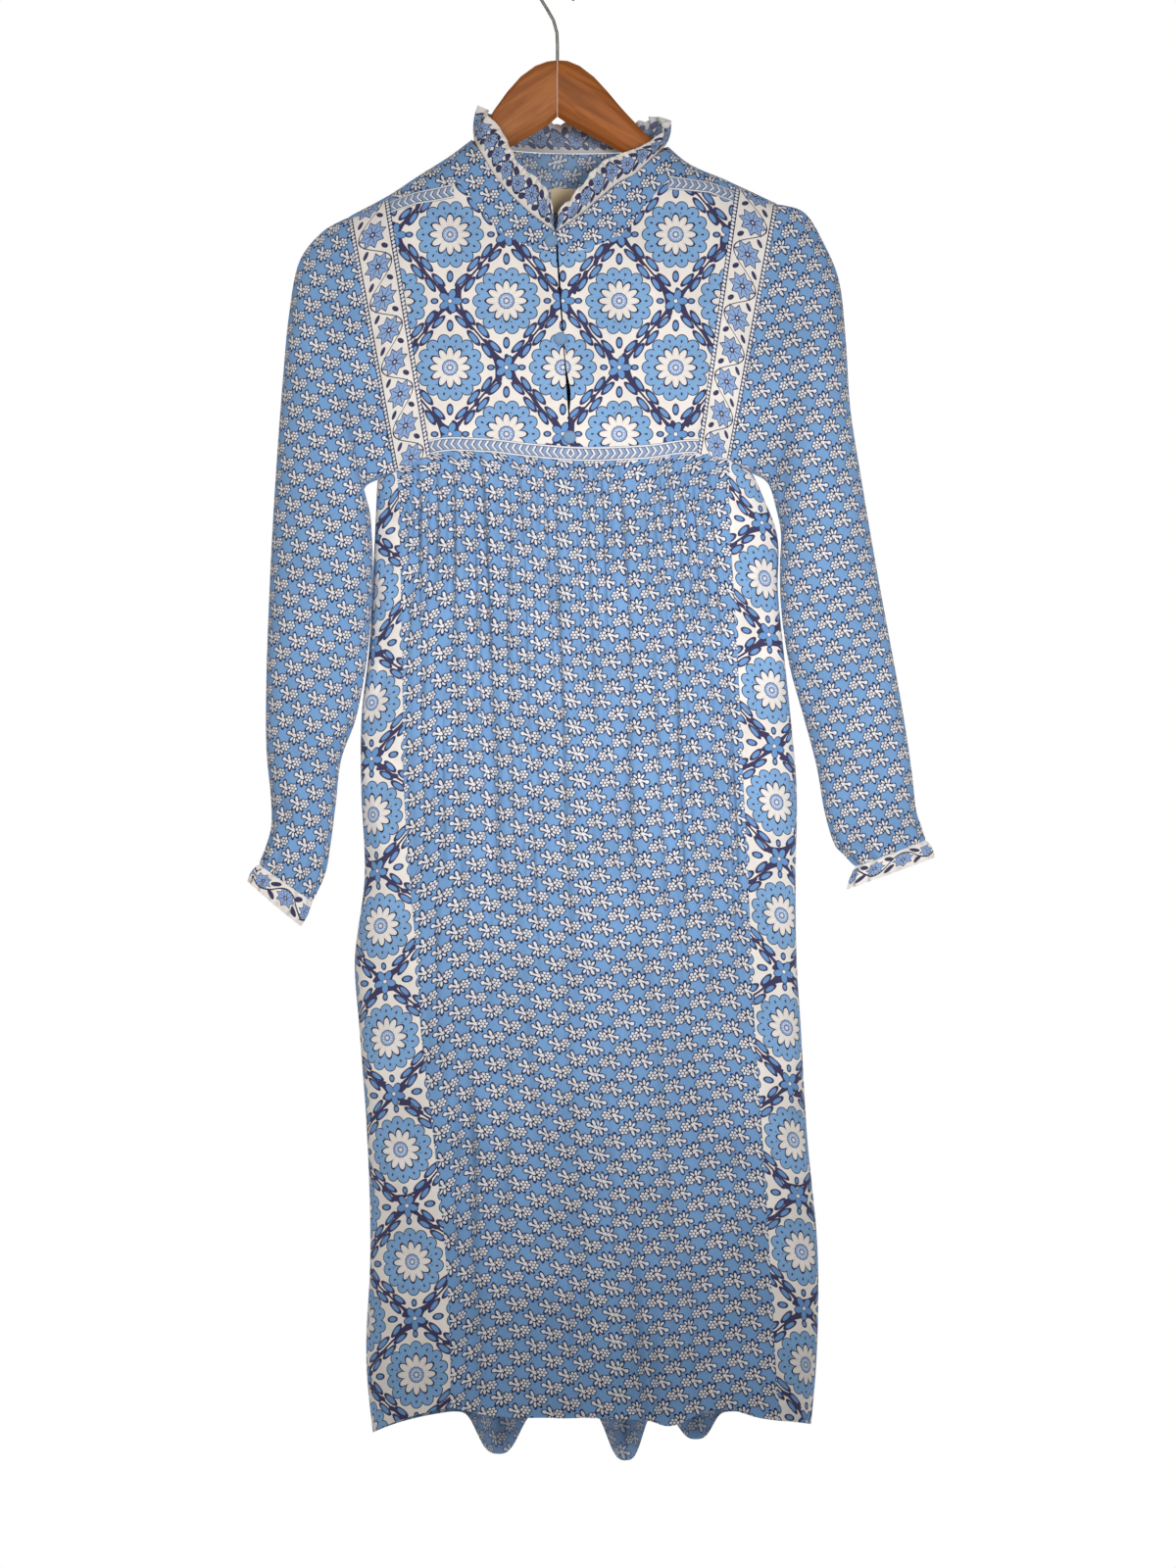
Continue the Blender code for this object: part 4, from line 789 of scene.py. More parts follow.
def armhole_point(hand, turn):
    """Armhole edge: turn 0 at the shoulder tip, down the front to 0.5 under the arm,
    and up the back to 1."""
    turn = np.mod(turn, 1.0)
    top, low = ARMHOLE_TOP[hand], ARMHOLE_LOW[hand]
    part = np.where(turn <= 0.5, turn, 1 - turn)
    share = np.clip((turn - ARMHOLE_LINE_SHARE) / ((0.5 - ARMHOLE_LINE_SHARE) * 2), 0, 1)
    under = body_side_point(hand, share, side_panel_top(hand, share))
    down = np.minimum(part / ARMHOLE_LINE_SHARE, 1)
    down = 0.5 - 0.5 * np.cos(math.pi * down ** ARMHOLE_EVENNESS)
    x = lerp(top[0], low[0], down)
    z_top = ridge(top[0])
    front = on_yoke(x, lerp(z_top, low[1], down), FRONT)
    back = on_yoke(x, lerp(z_top, YOKE_HEM_BACK, down), BACK)
    line = np.where((turn <= 0.5)[..., None], front, back)
    return np.where((part > ARMHOLE_LINE_SHARE)[..., None], under, line)


def ring_point(row, turn):
    """Oval section of a sleeve between its outer and inner edge."""
    ring = dict(zip(SLEEVE_COLUMNS, row))
    outer = np.array([ring["outer_x"], ring["shift"], ring["outer_z"]]) * MM
    inner = np.array([ring["inner_x"], ring["shift"], ring["inner_z"]]) * MM
    along = np.cos(2 * math.pi * turn)[..., None]
    point = 0.5 * (outer + inner) + 0.5 * (outer - inner) * along
    point[..., 1] -= ring["half"] * MM * np.sin(2 * math.pi * turn)
    return point


def sleeve_lines(hand, turn):
    """The lines down a sleeve, one for each turn, as one function of the place along it."""
    stations = [armhole_point(hand, turn)] + [ring_point(row, turn) for row in SLEEVE_ROWS[hand]]
    return curve(range(len(stations)), np.array(stations)), len(stations) - 1


def sleeve_surface(u, t, hand):
    """Sleeve with its gathers pushed out from the middle of the section: u goes round
    it, t from the armhole to the wrist seam."""
    turn, places = u[:, 0], t[0]
    line, last = sleeve_lines(hand, turn)
    facing, _ = sleeve_lines(hand, turn + 0.5)
    point = np.swapaxes(line(places * last), 0, 1)
    out = point - np.swapaxes(facing(places * last), 0, 1)
    wrist = bump(1 - t, SLEEVE_WRIST_REACH)
    head = np.minimum(t / SLEEVE_HEAD_START, 1.0) * np.exp(-t / SLEEVE_HEAD_REACH)
    head = head * bump(np.minimum(np.mod(u, 1), 1 - np.mod(u, 1)), SLEEVE_HEAD_WIDTH)
    wave = SLEEVE_WRIST_DEPTH * wrist * np.cos(2 * math.pi * SLEEVE_WRIST_WAVES * u)
    wave = wave + SLEEVE_HEAD_DEPTH * head * np.cos(2 * math.pi * SLEEVE_HEAD_WAVES * u)
    return point + wave[..., None] * unit(out)


def unit(vectors):
    """Vectors made one long; one that has no length is left."""
    return vectors / np.maximum(np.linalg.norm(vectors, axis=-1, keepdims=True), NO_LENGTH)


def cuff_surface(u, t, hand):
    """Cuff ruffle: leaves the wrist seam and fans out in waves."""
    turn = u[:, :1]
    seam = sleeve_surface(turn, np.ones_like(turn), hand)
    edge = ring_point(CUFF_ROWS[hand], turn)
    out = unit(edge - ring_point(CUFF_ROWS[hand], turn + 0.5))
    wave = CUFF_WAVE_DEPTH * np.sin(2 * math.pi * CUFF_WAVES * turn + CUFF_WAVE_START)
    edge = edge + out * wave[..., None]
    seam = seam + RUFFLE_LIFT * unit(edge - seam)
    t = t[..., None]
    return lerp(seam, edge, t) + out * CUFF_BELLY * np.sin(math.pi * t)


def collar_lines():
    """The collar's base on the neck edge, and its free edge."""
    base = []
    for row in COLLAR_ROWS:
        station = dict(zip(COLLAR_COLUMNS, row))
        x, z = station["base_x"] * MM, station["base_z"] * MM
        base.append(on_yoke(x, z, station["side"]) if station["side"] else yoke_point(x, 0.0))
    places = range(len(COLLAR_ROWS))
    edge = np.array([row[3:6] for row in COLLAR_ROWS]) * MM
    return curve(places, np.array(base)), curve(places, edge)


def collar_surface(u, t):
    """Collar ruffle: u along the neckline, t from its seam to its frilled edge."""
    base_line, edge_line = collar_lines()
    at = u * (len(COLLAR_ROWS) - 1)
    base, edge = base_line(at), edge_line(at)
    rise = unit(edge - base)
    base = base + RUFFLE_LIFT * rise
    run = base_line(at + COLLAR_STEP) - base_line(at - COLLAR_STEP)
    out = unit(np.cross(rise, run))
    shift = COLLAR_UNEVEN_SHIFT * np.sin(2 * math.pi * COLLAR_UNEVEN_WAVES * u)
    wave = COLLAR_WAVE_DEPTH * np.cos(2 * math.pi * COLLAR_WAVES * u + shift)
    wave = wave * t ** COLLAR_WAVE_GROWTH
    frill = COLLAR_FRILL_DEPTH * np.cos(2 * math.pi * COLLAR_FRILL_WAVES * u - 2 * shift)
    wave = wave + frill * t ** COLLAR_FRILL_GROWTH
    belly = COLLAR_BELLY * np.sin(math.pi * t)
    return lerp(base, edge, t[..., None]) + out * (wave + belly)[..., None]


def neck_edges(rows, u):
    """Lower and upper edge of a neck part at each station along it."""
    at = u * (len(rows) - 1)
    places = np.arange(len(rows), dtype=float)
    low_x, low_z, high_x = (np.interp(at, places, column(rows, NECK_COLUMNS, name)) * MM
                            for name in NECK_COLUMNS[:3])
    heights = column(rows, NECK_COLUMNS, "high_z") * MM
    corner = column(rows, NECK_COLUMNS, "high_x")[SHOULDER_STATIONS] * MM
    heights[SHOULDER_STATIONS] = ridge(corner) - SHOULDER_FACING_DROP
    high_z = np.where(at <= SHOULDER_STATIONS, ridge(high_x) - SHOULDER_FACING_DROP,
                      np.interp(at, places, heights))
    return low_x, low_z, high_x, high_z


def neck_surface(u, t, hand):
    """Round front neck part: u from the shoulder to the opening, t from the neck edge down."""
    low_x, low_z, high_x, high_z = neck_edges(NECK_ROWS[hand], u)
    return on_yoke(lerp(high_x, low_x, t), lerp(high_z, low_z, t), FRONT)


def front_yoke_surface(u, t, hand):
    """Large-print yoke half: u from the border strip to the opening, t from the top."""
    rows = NECK_ROWS[hand]
    top_x, top_z, _, _ = neck_edges(rows, u)
    share = (top_x - rows[0][0] * MM) / ((rows[-1][0] - rows[0][0]) * MM)
    low_x = lerp(BORDER_LOW_X[hand], OPENING_LOW_X, share)
    z = lerp(top_z, yoke_hem(low_x), t)
    x = lerp(top_x, low_x, t)
    if hand == RIGHT:
        gape = OPENING_GAPE * bump(z - OPENING_GAPE_Z, OPENING_GAPE_REACH)
        x = x + share ** OPENING_GAPE_NARROWNESS * gape
    return on_yoke(x, z, FRONT)


def border_surface(u, t, hand):
    """Slanting border strip: u from the armhole to its inner edge, t from the top."""
    top_x = lerp(ARMHOLE_TOP[hand][0], BORDER_TOP_X[hand], u)
    low_x = lerp(ARMHOLE_LOW[hand][0], BORDER_LOW_X[hand], u)
    z = lerp(ridge(top_x) - SHOULDER_FACING_DROP, yoke_hem(low_x), t)
    return on_yoke(lerp(top_x, low_x, t), z, FRONT)


def in_back_neck(x):
    return (x > BACK_NECK_ROWS[0][0] * MM) & (x < BACK_NECK_ROWS[-1][0] * MM)


def back_yoke_surface(x_top, t):
    """Back yoke. t is -1 on the front of the shoulder line, 0 level with the ends of the
    back neck edge and 1 at the back seam; in the neck the columns start at 0."""
    left, right = ARMHOLE_TOP[LEFT][0], ARMHOLE_TOP[RIGHT][0]
    share = (x_top - left) / (right - left)
    x_low = lerp(ARMHOLE_LOW[LEFT][0], ARMHOLE_LOW[RIGHT][0], share)
    tip = lerp(ridge(left), ridge(right), share)
    corner = np.where(x_top < 0, BACK_NECK_ROWS[0][0] * MM, BACK_NECK_ROWS[-1][0] * MM)
    x_start = np.where(in_back_neck(x_top), x_top, corner)
    start = turn_at(x_start, back_neck(x_start), BACK)
    finish = turn_at(x_low, YOKE_HEM_BACK, BACK)
    turn = np.where(t >= 0, lerp(start, finish, t), lerp(start, FACING_TURN, -t))
    x = x_top
    for _ in range(YOKE_ROUNDS):
        z = yoke_point(x, turn)[..., 2]
        down = np.clip((tip - z) / (tip - YOKE_HEM_BACK), 0, 1) * (turn < 0)
        x = lerp(x_top, x_low, down)
    low = on_yoke(x_low, YOKE_HEM_BACK + 0 * x_low, BACK)
    return np.where((t == 1)[..., None], low, yoke_point(x, turn))


def grid(us, ts):
    """Places of a surface's grid, u down the first axis and t along the second."""
    return np.meshgrid(us, ts, indexing="ij")


def spread(count, length, dense=(True, True)):
    """Places from 0 to 1, with extra ones close to the seams at the ends."""
    places = set(np.linspace(0, 1, count + 1))
    for distance in SEAM_ROWS:
        if dense[0]:
            places.add(distance / length)
        if dense[1]:
            places.add(1 - distance / length)
    return np.array(sorted(places))


def seam_grid(cells, size, foot=True):
    """Grid of a sheet about this large, with closer rows at its seams. A sheet that hangs
    free has no seam at its foot."""
    return grid(spread(cells[0], size[0]), spread(cells[1], size[1], (True, foot)))


def run_lengths(points, axis):
    """Distance walked along one axis of a grid of points, from its start."""
    steps = np.linalg.norm(np.diff(points, axis=axis), axis=-1)
    zero = np.zeros_like(np.take(steps, [0], axis=axis))
    return np.concatenate([zero, np.cumsum(steps, axis=axis)], axis=axis)


def facing_of(points, outward, closed):
    """Unit normals of a grid of points, turned so that its middle faces outward."""
    if closed:
        across = np.roll(points, -1, axis=0) - np.roll(points, 1, axis=0)
    else:
        across = np.gradient(points, axis=0)
    normals = unit(np.cross(across, np.gradient(points, axis=1)))
    middle = normals[points.shape[0] // 2, points.shape[1] // 2]
    return normals if np.dot(middle, outward) > 0 else -normals


def add_object(name, data):
    """New object in the scene, at the origin."""
    made = bpy.data.objects.new(name, data)
    bpy.context.scene.collection.objects.link(made)
    return made


def from_seams(across, along, seams):
    """Distance of each point of a sheet from the nearest of its seams."""
    sides = {"u": across, "U": across[-1:] - across, "t": along, "T": along[:, -1:] - along}
    return functools.reduce(np.minimum, (sides[name] for name in seams), FAR_AWAY + 0 * along)


def shell_faces(cells, closed):
    """Corner numbers of a shell's faces: the outer cells, the inner ones, and a wall at each
    bare edge. With them go the column and the row of every corner."""
    count_u, count_t = cells.shape[0] + (not closed), cells.shape[1] + 1
    size = count_u * count_t
    i, j = np.nonzero(cells)

    def at(i, j):
        return (i % count_u) * count_t + j

    near, side, far, down = at(i, j), at(i + 1, j), at(i + 1, j + 1), at(i, j + 1)
    quads = [np.stack([near, side, far, down], axis=1)]
    quads.append(np.stack([near, down, far, side], axis=1) + size)
    columns = [np.stack([i, i + 1, i + 1, i], axis=1), np.stack([i, i, i + 1, i + 1], axis=1)]
    rows = [np.stack([j, j, j + 1, j + 1], axis=1), np.stack([j, j + 1, j + 1, j], axis=1)]
    padded = np.pad(cells, 1)
    if closed:
        padded[0, 1:-1], padded[-1, 1:-1] = cells[-1], cells[0]
    walls = (((0, -1), (i, j), (i + 1, j)), ((0, 1), (i + 1, j + 1), (i, j + 1)),
             ((-1, 0), (i, j + 1), (i, j)), ((1, 0), (i + 1, j), (i + 1, j + 1)))
    for (step_u, step_t), start, end in walls:
        bare = ~padded[i + 1 + step_u, j + 1 + step_t]
        start = (start[0][bare], start[1][bare])
        end = (end[0][bare], end[1][bare])
        quads.append(np.stack([at(*start), at(*start) + size, at(*end) + size, at(*end)], axis=1))
        columns.append(np.stack([start[0], start[0], end[0], end[0]], axis=1))
        rows.append(np.stack([start[1], start[1], end[1], end[1]], axis=1))
    return (np.concatenate(part) for part in (quads, columns, rows))


def add_map(mesh, label, first, second):
    """A map of the mesh: a place for every corner of every face."""
    layer = mesh.uv_layers.new(name=label)
    layer.data.foreach_set("uv", np.stack([first, second], axis=-1).reshape(-1))


def cloth_shell(name, points, outward, print_at, band_at=None, closed=False, seams="uUtT",
                wall=None, missing=None):
    """Thin closed shell of cloth from a grid of points on its outer face. print_at gives the
    place on the flat cloth, band_at the place along and off a printed band, and seams
    names the sides that dip into a seam: u and U its first and last line, t and T its
    first and last row. missing marks the cells the piece doesn't have."""
    sizes = bpy.context.scene.dress_sizes
    normals = facing_of(points, outward, closed)
    loop = np.concatenate([points, points[:1]], axis=0) if closed else points
    across = run_lengths(loop, 0)
    along = run_lengths(points, 1)
    loop_along = run_lengths(loop, 1)
    dip = sizes.seam_dip * bump(from_seams(across, along, seams), SEAM_DIP_REACH)
    outer = points - normals * dip[..., None]
    inner = outer - normals * (wall or sizes.wall)
    cells = np.ones((len(loop) - 1, points.shape[1] - 1), dtype=bool)
    if missing is not None:
        cells = ~missing
    quads, columns, rows = shell_faces(cells, closed)
    vertices = np.concatenate([outer.reshape(-1, 3), inner.reshape(-1, 3)])
    used, numbers = np.unique(quads, return_inverse=True)
    quads = numbers.reshape(quads.shape)
    near, side, _, down = vertices[used[quads[0]]]
    if np.dot(np.cross(side - near, down - near), normals[columns[0, 0], rows[0, 0]]) < 0:
        quads, columns, rows = quads[:, ::-1], columns[:, ::-1], rows[:, ::-1]
    mesh = bpy.data.meshes.new(name)
    mesh.from_pydata(vertices[used].tolist(), [], quads.tolist())
    maps = {"cloth": print_at} if band_at is None else {"cloth": print_at, "band": band_at}
    for label, place_at in maps.items():
        add_map(mesh, label, *(part[columns, rows] for part in place_at(across, loop_along)))
    behind = used >= points[..., 0].size
    u = (across / across[-1:])[columns, rows]
    v = (loop_along / loop_along[:, -1:])[columns, rows]
    u = np.where(behind[quads], BAKE_SPLIT + u * (1 - BAKE_SPLIT), u * BAKE_SPLIT)
    add_map(mesh, "OFBake", *(BAKE_MARGIN + part * (1 - 2 * BAKE_MARGIN) for part in (u, v)))
    layer = mesh.attributes.new("inside", "FLOAT", "POINT")
    layer.data.foreach_set("value", behind.astype(float))
    mesh.shade_smooth()
    mesh.set_sharp_from_angle(angle=EDGE_ANGLE)
    mesh.validate()
    cell_area = np.linalg.norm(np.cross(loop[1:, :-1] - loop[:-1, :-1],
                                        loop[:-1, 1:] - loop[:-1, :-1]), axis=-1)
    area = float(cell_area[cells].sum())
    return add_object(name, mesh), (float(across[-1].max()), float(along[:, -1].max()), area)


def sew(name, points, outward, print_at, material, held, rests_on, **shell):
    """A finished sheet in its place: its shell and look, parented to the body, with the part's
    solid that it stands for hidden."""
    made, cut = cloth_shell("cloth_" + name, points, outward, print_at, **shell)
    made.data.materials.append(look(material))
    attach(made, BODY)
    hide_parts(name)


def wrinkles(rows, x, z):
    """Depth of creases listed one by one: each has its place, its lean, its half length, its
    half width and its depth, and fades to nothing at its ends."""
    depth = 0.0 * x
    for place_x, place_z, lean, half_length, half_width, size in rows:
        turn = math.radians(lean)
        dx, dz = x - place_x * MM, z - place_z * MM
        run = dx * math.sin(turn) - dz * math.cos(turn)
        off = dx * math.cos(turn) + dz * math.sin(turn)
        bend = off + CREASE_BEND * (run / (half_length * MM)) ** 2 * half_width * MM
        hump = bump(run, half_length * MM) * bump(bend, half_width * MM)
        depth = depth + CREASE_STRENGTH * size * MM * hump
    return depth


def creased(points, rows, outward, closed=False, side=0):
    """Points moved along their normals by the creases of one side of the garment."""
    normals = facing_of(points, outward, closed)
    depth = wrinkles(rows, points[..., 0], points[..., 2])
    if side:
        depth = depth * np.clip(-side * normals[..., 1] * 2, 0, 1)
    edge = np.minimum(np.arange(points.shape[1]), np.arange(points.shape[1])[::-1])
    depth = depth * np.clip(edge / CREASE_EDGE_ROWS, 0, 1)
    return points + normals * depth[..., None]


def flat_print(across, along):
    """Place on the flat cloth: metres across and down."""
    return across, -along


def side_print(hand):
    """The side panel's cloth is turned a quarter, with a row of medallions near its front."""
    return lambda across, along: (along, hand * (across - SIDE_PRINT_SHIFT))


def skirt_print(across, along):
    """The skirt's cloth, measured from its middle; some of it is hidden in the gathers."""
    return (across - 0.5 * across[-1:]) * SKIRT_PRINT_SHARE, -along


def upright_print(points):
    """Cloth that lies flat on the chest: its print stays upright."""
    return lambda across, along: (points[..., 0] - OPENING_MIDDLE, points[..., 2])


def sleeve_print(hand, points):
    """A sleeve's cloth on its straight grain: up its own axis, and round it from the middle
    of its front. The head's easing is taken up along the shoulder, so the back stays
    straight too."""
    middle = points.mean(axis=0)
    grain = unit(middle[0] - middle[-1])
    loop = np.concatenate([points, points[:1]])
    up = (loop - middle[-1]) @ grain
    level = loop - up[..., None] * grain
    around = run_lengths(level, 0)
    back, edge, front = (quarter * len(points) // 4 for quarter in (1, 2, 3))

    def sideways(line):
        return (level[line] - level[line, -1]) @ np.array([grain[2], 0.0, -grain[0]])

    off = sideways(front) - hand * (around - around[front]) + hand * SLEEVE_PRINT_OFF
    head = int(SLEEVE_HEAD_SHARE * (points.shape[1] - 1))
    behind = off[back].copy()
    behind[:head] = behind[head] - (sideways(back)[:head] - sideways(back)[head])
    off[:edge + 1] = behind - hand * (around - around[back])[:edge + 1]
    return lambda across, along: (off, up)


def strip_print(length_axis, width):
    """A printed strip: metres along it, and metres off its middle."""
    def place(across, along):
        if length_axis == "t":
            return along, (across / across[-1:] - 0.5) * width
        whole = across[-1].mean()
        return across / across[-1:] * whole, (along / along[:, -1:] - 0.5) * width
    return place


def yoke_bands(across, along):
    """Distance from the nearer printed band of a front yoke: the one at its lower edge,
    or the one at the shoulder."""
    low = along[:, -1:] - along
    shoulder = along + np.where(across / across[-1:] < SHOULDER_BAND_SHARE, 0, FAR_AWAY)
    return across, np.minimum(low, shoulder)


def build_skirt():
    """Front and back skirt, gathered into the yokes."""
    u, t = seam_grid(SKIRT_CELLS, SKIRT_ABOUT, foot=False)
    for name, side, creases in (("front", FRONT, FRONT_CREASES), ("back", BACK, BACK_CREASES)):
        outward = (0, -side, 0)
        points = creased(skirt_surface(u, t, side), creases, outward)
        sew("skirt_" + name, points, outward, skirt_print, "sprig_print", "gathered",
            ["hanger_bar_left"], seams="uUt")


def build_side_panels():
    """Large-print panels from the armholes to the hem."""
    u, t = seam_grid(SIDE_CELLS, SIDE_ABOUT, foot=False)
    for name, hand in HANDS:
        outward = (hand, 0, 0)
        points = side_panel_surface(u, t, hand)
        points = creased(points, SIDE_CREASES[hand], outward, side=FRONT)
        sew("side_panel_" + name, points, outward, side_print(hand), "large_side_print", "hung",
            ["hanger_bar_" + name], seams="uUt")


def build_yokes():
    """Neck part, large-print yoke and border strip of each half of the front."""
    strip_at = strip_print("t", bpy.context.scene.dress_sizes.border_width)
    for name, hand in HANDS:
        bar = ["hanger_bar_" + name]
        points = neck_surface(*seam_grid(NECK_CELLS, NECK_ABOUT), hand)
        sew("neck_yoke_" + name, points, FORWARD, upright_print(points), "sprig_print", "hung",
            bar, seams="utT")
        points = front_yoke_surface(*seam_grid(YOKE_CELLS, YOKE_ABOUT), hand)
        points = creased(points, YOKE_CREASES[hand], FORWARD)
        sew("front_yoke_" + name, points, FORWARD, upright_print(points), "large_yoke_print",
            "hung", bar, seams="utT", band_at=yoke_bands)
        points = border_surface(*seam_grid(BORDER_CELLS, BORDER_ABOUT), hand)
        sew("yoke_border_" + name, points, FORWARD, strip_at, "border_strip_print", "hung", bar)


def build_back_yoke():
    """The shoulder yoke goes over the shoulder line to the front, with the neck cut out."""
    left, right = ARMHOLE_TOP[LEFT][0], ARMHOLE_TOP[RIGHT][0]
    corners = {BACK_NECK_ROWS[0][0] * MM, BACK_NECK_ROWS[-1][0] * MM}
    places = set(np.linspace(left, right, BACK_YOKE_CELLS[0] + 1)) | corners
    for distance in SEAM_ROWS:
        places |= {left + distance, right - distance}
    xs = np.array(sorted(places))
    xs = xs[np.concatenate([[True], np.diff(xs) > LEAST_CELL])]
    low = spread(BACK_YOKE_CELLS[1], BACK_YOKE_LENGTH)
    ts = np.concatenate([np.linspace(-1, 0, BACK_YOKE_FRONT_ROWS, endpoint=False), low])
    points = creased(back_yoke_surface(*grid(xs, ts)), BACK_YOKE_CREASES, BACKWARD, side=BACK)
    middle = 0.5 * (xs[1:] + xs[:-1])
    missing = in_back_neck(middle)[:, None] & (ts[:-1] < 0)[None, :]
    sew("shoulder_yoke", points, BACKWARD,
        lambda across, along: (points[..., 0], along - BACK_YOKE_PRINT_SHIFT), "sprig_print",
        "hung", ["hanger_bar_left", "hanger_bar_right"], seams="uUT", missing=missing)


def build_collar():
    """Standing ruffle round the neck, open at the front."""
    u, t = grid(np.linspace(0, 1, COLLAR_CELLS[0] + 1), np.linspace(0, 1, COLLAR_CELLS[1] + 1))
    strip_at = strip_print("u", bpy.context.scene.dress_sizes.collar_width)
    sew("collar_ruffle", collar_surface(u, t), BACKWARD, strip_at, "ruffle_print", "gathered",
        ["cloth_shoulder_yoke"], seams="t")


def places_round(count):
    """Places round a sleeve, from under the arm; the last one meets the first."""
    return 0.5 + np.arange(count) / count


def build_sleeves():
    """Each sleeve with the ruffle of its cuff."""
    strip_at = strip_print("u", bpy.context.scene.dress_sizes.cuff_width)
    for name, hand in HANDS:
        outward = (hand, 0, 0)
        u, t = grid(places_round(SLEEVE_CELLS[0]), spread(SLEEVE_CELLS[1], SLEEVE_LENGTH))
        points = creased(sleeve_surface(u, t, hand), SLEEVE_CREASES[hand], outward, True, FRONT)
        points = creased(points, SLEEVE_BACK_CREASES[hand], outward, True, BACK)
        sew("sleeve_" + name, points, outward, sleeve_print(hand, points), "sprig_print", "hung",
            ["hanger_bar_" + name], closed=True, seams="tT")
        u, t = grid(places_round(CUFF_CELLS[0]), np.linspace(0, 1, CUFF_CELLS[1] + 1))
        sew("cuff_ruffle_" + name, cuff_surface(u, t, hand), outward, strip_at, "cuff_print",
            "gathered", ["cloth_sleeve_" + name], closed=True, seams="t")


def build_label():
    """Blank label sewn inside the back neck by its upper edge."""
    places = np.linspace(0, 1, LABEL_CELLS + 1)
    u, t = grid(places, places)
    points = on_yoke(lerp(LABEL_LEFT, LABEL_RIGHT, u), lerp(LABEL_TOP, LABEL_LOW, t), BACK)
    points[..., 1] -= LABEL_CLEARANCE
    sew("neck_label", points, BACKWARD, flat_print, "blank_satin_label", "hung",
        ["cloth_shoulder_yoke"], seams="", wall=LABEL_WALL)


def linear(text):
    """Colour of a hex code as Blender's shaders take it."""
    parts = [int(text[k:k + 2], 16) / 255 for k in (1, 3, 5)]
    return (*(c / 12.92 if c <= 0.04045 else ((c + 0.055) / 1.055) ** 2.4 for c in parts), 1.0)


def node(tree, kind, inputs=(), output=0, **settings):
    """Adds a node with its settings; inputs are sockets to link or values to set."""
    made = tree.nodes.new("ShaderNode" + kind)
    for name, value in settings.items():
        setattr(made, name, value)
    for place, value in inputs.items() if isinstance(inputs, dict) else enumerate(inputs):
        if isinstance(value, bpy.types.NodeSocket):
            tree.links.new(value, made.inputs[place])
        else:
            made.inputs[place].default_value = value
    return made.outputs[output] if len(made.outputs) else made


def shade(name):
    """One of the print's colours, as the panel has it."""
    return (*getattr(bpy.context.scene.dress_colours, name), 1.0)


def painter(name):
    """A new material and the function that adds nodes to it."""
    made = bpy.data.materials.new(name)
    made.use_nodes = True
    made.node_tree.nodes.clear()
    return made, functools.partial(node, made.node_tree)


def flat_mm(add, name="cloth"):
    """Place on a named map of the piece, in millimetres."""
    return add("VectorMath", [add("UVMap", uv_map=name), (1 / MM, 1 / MM, 0)],
               operation="MULTIPLY")


def one_of(add, share, first, second, kind="RGBA"):
    """Second where share is 1, first where it is 0."""
    slots = {"RGBA": (0, 6, 7, 2), "VECTOR": (0, 4, 5, 1)}[kind]
    return add("Mix", dict(zip(slots, (share, first, second))), output=slots[3], data_type=kind)


def stepped(add, cell, place, shift):
    """Place measured from the nearest centre of a plain lattice, shifted."""
    moved = add("VectorMath", [place, (*shift, 0)], operation="ADD")
    ahead = add("VectorMath", [moved, (cell[0] / 2, cell[1] / 2, 0)], operation="ADD")
    snapped = add("VectorMath", [ahead, (*cell, 1)], operation="SNAP")
    return add("VectorMath", [moved, snapped], operation="SUBTRACT")


def from_centre(add, cell, place):
    """Place measured from the nearest centre of a lattice with half-drop centres."""
    size = (1 / cell[0], 1 / cell[1], 0)
    plain = stepped(add, cell, place, (0, 0))
    halved = stepped(add, cell, place, (cell[0] / 2, cell[1] / 2))
    far = [add("VectorMath", [add("VectorMath", [part, size], operation="MULTIPLY")],
               output=1, operation="LENGTH") for part in (plain, halved)]
    nearer = add("Math", [far[1], far[0]], operation="LESS_THAN")
    return one_of(add, nearer, plain, halved, "VECTOR")


def oval(add, place, centre, radii, lean=0.0):
    """Distance outside an oval, in millimetres."""
    seen = add("Mapping", [place, (*centre, 0), (0, 0, math.radians(lean)), (*radii, 1)],
               vector_type="TEXTURE")
    reach = add("VectorMath", [seen], output=1, operation="LENGTH")
    return add("Math", [reach, min(radii), -min(radii)], operation="MULTIPLY_ADD")


def less(add, value, amount):
    """A value with an amount taken off: the distance outside a disc, from its reach."""
    return add("Math", [value, amount], operation="SUBTRACT")


def joined(add, distances):
    """Distance outside several shapes taken together."""
    nearest = distances[0]
    for other in distances[1:]:
        nearest = add("Math", [nearest, other], operation="MINIMUM")
    return nearest


def spokes(add, place, count):
    """Place turned onto the nearest of several spokes, and its distance from the middle."""
    parts = add("SeparateXYZ", [place])
    x, y = parts, parts.node.outputs[1]
    step = 2 * math.pi / count
    turn = add("Math", [y, x], operation="ARCTAN2")
    ahead = add("Math", [turn, step / 2], operation="ADD")
    snapped = add("Math", [ahead, step], operation="SNAP")
    off = add("Math", [turn, snapped], operation="SUBTRACT")
    reach = add("VectorMath", [place], output=1, operation="LENGTH")
    x = add("Math", [reach, add("Math", [off], operation="COSINE")], operation="MULTIPLY")
    y = add("Math", [reach, add("Math", [off], operation="SINE")], operation="MULTIPLY")
    return add("CombineXYZ", [x, y]), reach


def inked(add, ground, distance, fill, line=None, width=0.0):
    """Paints a shape on the ground: its fill, and a line round it in the outline colour."""
    if line is not None:
        outside = add("Math", [distance, width], operation="LESS_THAN")
        ground = one_of(add, outside, ground, line)
    inside = add("Math", [distance, 0.0], operation="LESS_THAN")
    return one_of(add, inside, ground, fill)


